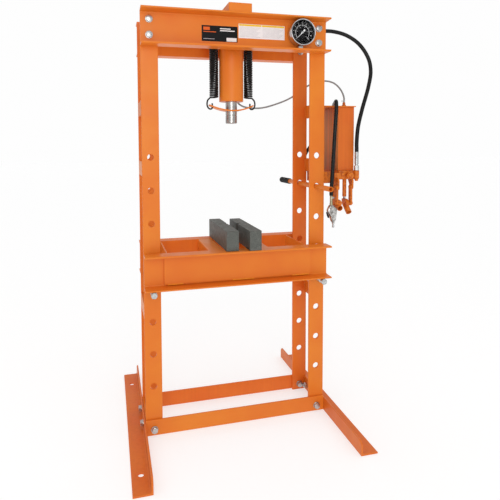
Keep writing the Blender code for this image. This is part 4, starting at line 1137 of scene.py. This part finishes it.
def make_needle(centre, face):
    """White pointer with a broad tail and a domed hub."""
    turn = math.radians(DIAL_START)
    outline = [(0.0385, 0.0003), (0.0385, -0.0003), (0.0060, -0.0016), (0.0, -0.0024)]
    outline += [(-0.0060, -0.0016), (-0.0085, -0.0036), (-0.0165, -0.0040), (-0.0165, 0.0040)]
    outline += [(-0.0085, 0.0036), (-0.0060, 0.0016), (0.0, 0.0024), (0.0060, 0.0016)]
    bm = bmesh.new()
    rings = []
    for y in (face - 0.0016, face - 0.0026):
        ring = []
        for a, b in outline:
            x = centre[0] + a * math.cos(turn) - b * math.sin(turn)
            z = centre[1] + a * math.sin(turn) + b * math.cos(turn)
            ring.append(bm.verts.new((x, y, z)))
        rings.append(ring)
    bridge(bm, rings[0], rings[1])
    bm.faces.new(rings[0])
    bm.faces.new(rings[1])
    bmesh.ops.recalc_face_normals(bm, faces=bm.faces)
    piece("needle_blade", bm, PRINT_WHITE, "needle", smooth=False,
          node="gauge_needle")
    hub = [(0.0, face - 0.0001), (0.0045, face - 0.0001), (0.0045, face - 0.0038)]
    hub += [(0.0030, face - 0.0046), (0.0, face - 0.0049)]
    piece("needle_hub", turned(hub, centre, "y", 48), ZINC, "needle")


# ---------------------------------------------------------------------- labels
def label_plate(name, x_span, z_span, lift, material):
    """A thin printed rectangle on the front channel's web."""
    x0, x1 = RAM_X + x_span[0], RAM_X + x_span[1]
    low = (x0, WEB_FACE - lift - 0.00025, z_span[0])
    high = (x1, WEB_FACE - lift, z_span[1])
    bm = block(low, high)
    upright = [edge for edge in bm.edges if abs(edge.verts[0].co.y - edge.verts[1].co.y) > 1e-6]
    radius = min(0.0015, (z_span[1] - z_span[0]) / 3)
    bmesh.ops.bevel(bm, geom=upright, offset=radius, segments=3, profile=0.5, affect="EDGES")
    return piece(name, bm, material, "frame", smooth=False)


def make_labels():
    """Two plain labels: a dark one with blank fields, a pale one with ruled columns."""
    label_plate("label_dark", (-0.152, 0.000), (1.636, 1.700), 0.0, PRINT_BLACK)
    fields = (("field", (-0.0475, -0.0045), (1.638, 1.653), PRINT_WHITE),
              ("bar", (-0.145, -0.118), (1.681, 1.694), PRINT_ORANGE),
              ("rule", (-0.145, -0.092), (1.673, 1.676), PRINT_ORANGE),
              ("line_1", (-0.075, -0.030), (1.687, 1.691), PRINT_WHITE),
              ("line_2", (-0.075, -0.012), (1.679, 1.683), PRINT_WHITE),
              ("line_3", (-0.145, -0.098), (1.645, 1.647), PRINT_GREY))
    for name, x_span, z_span, material in fields:
        label_plate("label_dark_" + name, x_span, z_span, LABEL_RAISE, material)
    label_plate("label_pale", (0.0045, 0.208), (1.655, 1.714), 0.0, PRINT_WHITE)
    for column, (start, stop) in enumerate(((0.0065, 0.104), (0.1065, 0.206))):
        head = "label_head_%d" % column
        label_plate(head, (start, stop), (1.7055, 1.7125), LABEL_RAISE, PRINT_YELLOW)
        for row in range(9):
            top = 1.7005 - row * 0.0048
            end = stop - 0.004 - 0.018 * ((row * 5 + column * 3) % 4) / 3
            name = "label_row_%d_%d" % (column, row)
            label_plate(name, (start + 0.003, end), (top - 0.0009, top), LABEL_RAISE, PRINT_GREY)


# -------------------------------------------------------------------- pump unit
def make_pump():
    """Tank, lid, bracket, casting, levers and plungers with their small parts."""
    # The tank's paint carries a brown painted shade on its left face.
    refined("oil_tank", TANK_PAINT, 0.0008)
    refined("oil_tank_lid", PAINT, 0.0008)
    refined("breather", CAST_PAINT, 0.0008)
    refined("tank_bracket", CAST_PAINT, 0.0007)
    refined("pump_block", CAST_PAINT, 0.0016, 3)
    refined("pump_lever_left", CAST_PAINT, 0.0009, 2)
    refined("pump_lever_right", CAST_PAINT, 0.0009, 2)
    for name in ("left", "right"):
        node = "pump_plunger_" + name
        low, high, centre, radius = round_node(node, "z")
        profile = [(0.0, low.z), (radius, low.z), (radius, high.z), (0.0, high.z)]
        bm = turned(rounded_profile(profile, 0.0012), centre, "z", 48)
        rod = "plunger_rod_" + name
        piece(rod, bm, TURNED_STEEL, "plunger_" + name, node=node)
    make_pump_plugs()


def make_pump_plugs():
    """Hexagon plugs and cap screws on the pump casting and bracket."""
    sizes = ((0.523, -0.1130, 1.071, 0.022, 0.0165), (0.489, -0.0985, 1.076, 0.014, 0.0095))
    for number, (x, y, z, flats, collar) in enumerate(sizes):
        centre = (RAM_X + x, z)
        bm = hexagon(flats, centre, "y", y - 0.0095, y - 0.0030, ends=(True, False))
        ring = [(0.0, y - 0.0035), (collar - 0.0015, y - 0.0035), (collar, y - 0.0020)]
        ring += [(collar, y + 0.002), (0.0, y + 0.002)]
        bm = merged(bm, turned(ring, centre, "y", 40))
        piece("pump_plug_%d" % number, bm, CAST_PAINT, "frame")
    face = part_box("tank_bracket")[0].x + 0.004
    for number, z in enumerate((1.060, 1.112)):
        for end, y in (("front", -0.035), ("rear", 0.035)):
            bm = hexagon(0.013, (y, z), "x", face + 0.0002, face + 0.0072, ends=(False, True))
            name = "bracket_screw_%d_%s" % (number, end)
            piece(name, bm, ZINC, "frame")


# -------------------------------------------------------------- stored handle
def make_handle():
    """Pump handle tube with an open end, and its ribbed grip."""
    low, high, centre, radius = round_node("pump_handle", "y")
    inner = radius - 0.0022
    profile = [(inner, low.y), (radius, low.y), (radius, high.y), (inner, high.y)]
    tube = turned(rounded_profile(profile, 0.0005, 2), centre, "y", 56)
    piece("handle_tube", tube, PAINT, "stored_handle", node="pump_handle")
    low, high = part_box("handle_grip")
    radius = (high.x - low.x) / 2
    groove = radius - 0.0011
    profile = [(0.0114, low.y), (radius - 0.001, low.y), (radius, low.y + 0.002)]
    profile += [(radius, low.y + 0.008)]
    for rib in range(13):
        base = low.y + 0.010 + rib * 0.0072
        profile += [(groove, base), (groove, base + 0.0022)]
        profile += [(radius, base + 0.0034), (radius, base + 0.0066)]
    profile += [(radius, high.y - 0.004), (radius - 0.002, high.y - 0.001)]
    profile += [(radius - 0.005, high.y), (0.0, high.y), (0.0, high.y - 0.006)]
    profile += [(0.0114, high.y - 0.006)]
    sleeve = turned(profile, centre, "y", 56)
    piece("handle_sleeve", sleeve, GRIP_BLACK, "stored_handle",
          node="handle_grip")


# ------------------------------------------------------------- frame and bed
def finish_frame():
    """Rounded, painted skins for the plates, strips, channels and feet."""
    # The rear pieces take the redder copy of the enamel, a painted shade.
    for end, paint in (("front", PAINT), ("rear", REAR_SHADE_PAINT)):
        refined("crosshead_channel_" + end, paint, 0.0010, 3)
        refined("spreader_" + end, paint, 0.0010)
        refined("bed_channel_" + end, paint, 0.0010, 3)
        for side in ("left", "right"):
            refined("column_%s_%s" % (end, side), paint, 0.0007)
    for side in ("left", "right"):
        # The feet take the redder copy of the enamel, a painted shade.
        refined("foot_" + side, FOOT_SHADE_PAINT, 0.0010, 3)
        refined("foot_plate_" + side, PAINT, 0.0008)
        refined("bed_end_plate_" + side, PAINT, 0.0008)
        refined("bed_spacer_" + side, PAINT, 0.0008)
        refined("arbor_block_" + side, BLACK_STEEL, 0.0008)
        for number in (1, 2, 3):
            refined("batten_%s_%d" % (side, number), PAINT, 0.0008)
    refined("crosshead_saddle", PAINT, 0.0015, 3)
    refined("bed_front_plate", PAINT, 0.0008)
    refined("spring_yoke", PAINT, 0.0008)


def make_pins():
    """Bed pins with a ring groove and rounded ends."""
    for name in ("left", "right"):
        node = "bed_pin_" + name
        low, high, centre, radius = round_node(node, "y")
        groove, neck, tip = low.y + 0.020, radius - 0.0016, radius - 0.0028
        profile = [(0.0, low.y), (tip, low.y), (radius, low.y + 0.0028), (radius, groove)]
        profile += [(neck, groove + 0.0010), (neck, groove + 0.0040), (radius, groove + 0.0050)]
        profile += [(radius, high.y - 0.0028), (tip, high.y), (0.0, high.y)]
        bm = turned(profile, centre, "y", 64)
        piece("pin_bar_" + name, bm, ZINC, "pin_" + name, node=node)


# ----------------------------------------------------------------- the studio
def make_stage():
    """A plain pale floor that reaches past the view."""
    bm = bmesh.new()
    bmesh.ops.create_grid(bm, x_segments=1, y_segments=1, size=30.0)
    mesh = bpy.data.meshes.new("studio_floor")
    bm.to_mesh(mesh)
    bm.free()
    floor = bpy.data.objects.new("studio_floor", mesh)
    floor.location = (0.0, 0.0, -0.0005)
    bpy.context.scene.collection.objects.link(floor)
    grey = (0.50, 0.50, 0.50)
    material, _, shader, _ = start_material("pale_floor", grey, 0.0, 0.75)
    shader.inputs["Emission Color"].default_value = (1.0, 1.0, 1.0, 1.0)
    shader.inputs["Emission Strength"].default_value = 0.56
    shader.inputs["Specular IOR Level"].default_value = 0.1
    mesh.materials.append(material)


def area_light(name, place, target, size, power):
    """A square soft light aimed at a point."""
    data = bpy.data.lights.new(name, "AREA")
    data.shape = "SQUARE"
    data.size = size
    data.energy = power
    light = bpy.data.objects.new(name, data)
    light.location = place
    aim = Vector(target) - Vector(place)
    light.rotation_euler = aim.to_track_quat("-Z", "Y").to_euler()
    bpy.context.scene.collection.objects.link(light)


def make_lights():
    """Soft light from the left front, and pale surroundings that are brighter overhead."""
    area_light("key", (-0.7, -3.9, 1.9), (0.0, 0.0, 1.0), 2.2, 38.0)
    world = bpy.data.worlds.new("studio")
    world.use_nodes = True
    tree = world.node_tree
    place = make(tree, "ShaderNodeTexCoord").outputs["Generated"]
    split = make(tree, "ShaderNodeSeparateXYZ")
    tree.links.new(place, split.inputs[0])
    sky = spread_out(tree, split.outputs["Z"], 0.0, 1.0, 0.54, 0.98)
    seen = make(tree, "ShaderNodeLightPath").outputs["Is Camera Ray"]
    mix = make(tree, "ShaderNodeMix", data_type="FLOAT")
    tree.links.new(seen, mix.inputs[0])
    tree.links.new(sky, mix.inputs[2])
    mix.inputs[3].default_value = 0.99
    tree.links.new(mix.outputs[0], tree.nodes["Background"].inputs["Strength"])
    tree.nodes["Background"].inputs["Color"].default_value = (1.0, 1.0, 1.0, 1.0)
    bpy.context.scene.world = world
    bpy.context.scene.view_settings.view_transform = "Standard"


make_camera()
make_hoses()
finish_frame()
make_frame_bolts()
make_foot_bolts()
make_cylinder()
make_springs()
make_gauge()
make_labels()
make_pump()
make_handle()
make_pins()
make_batten_welds()
make_bed_welds()
make_crosshead_welds()
make_stage()
make_lights()
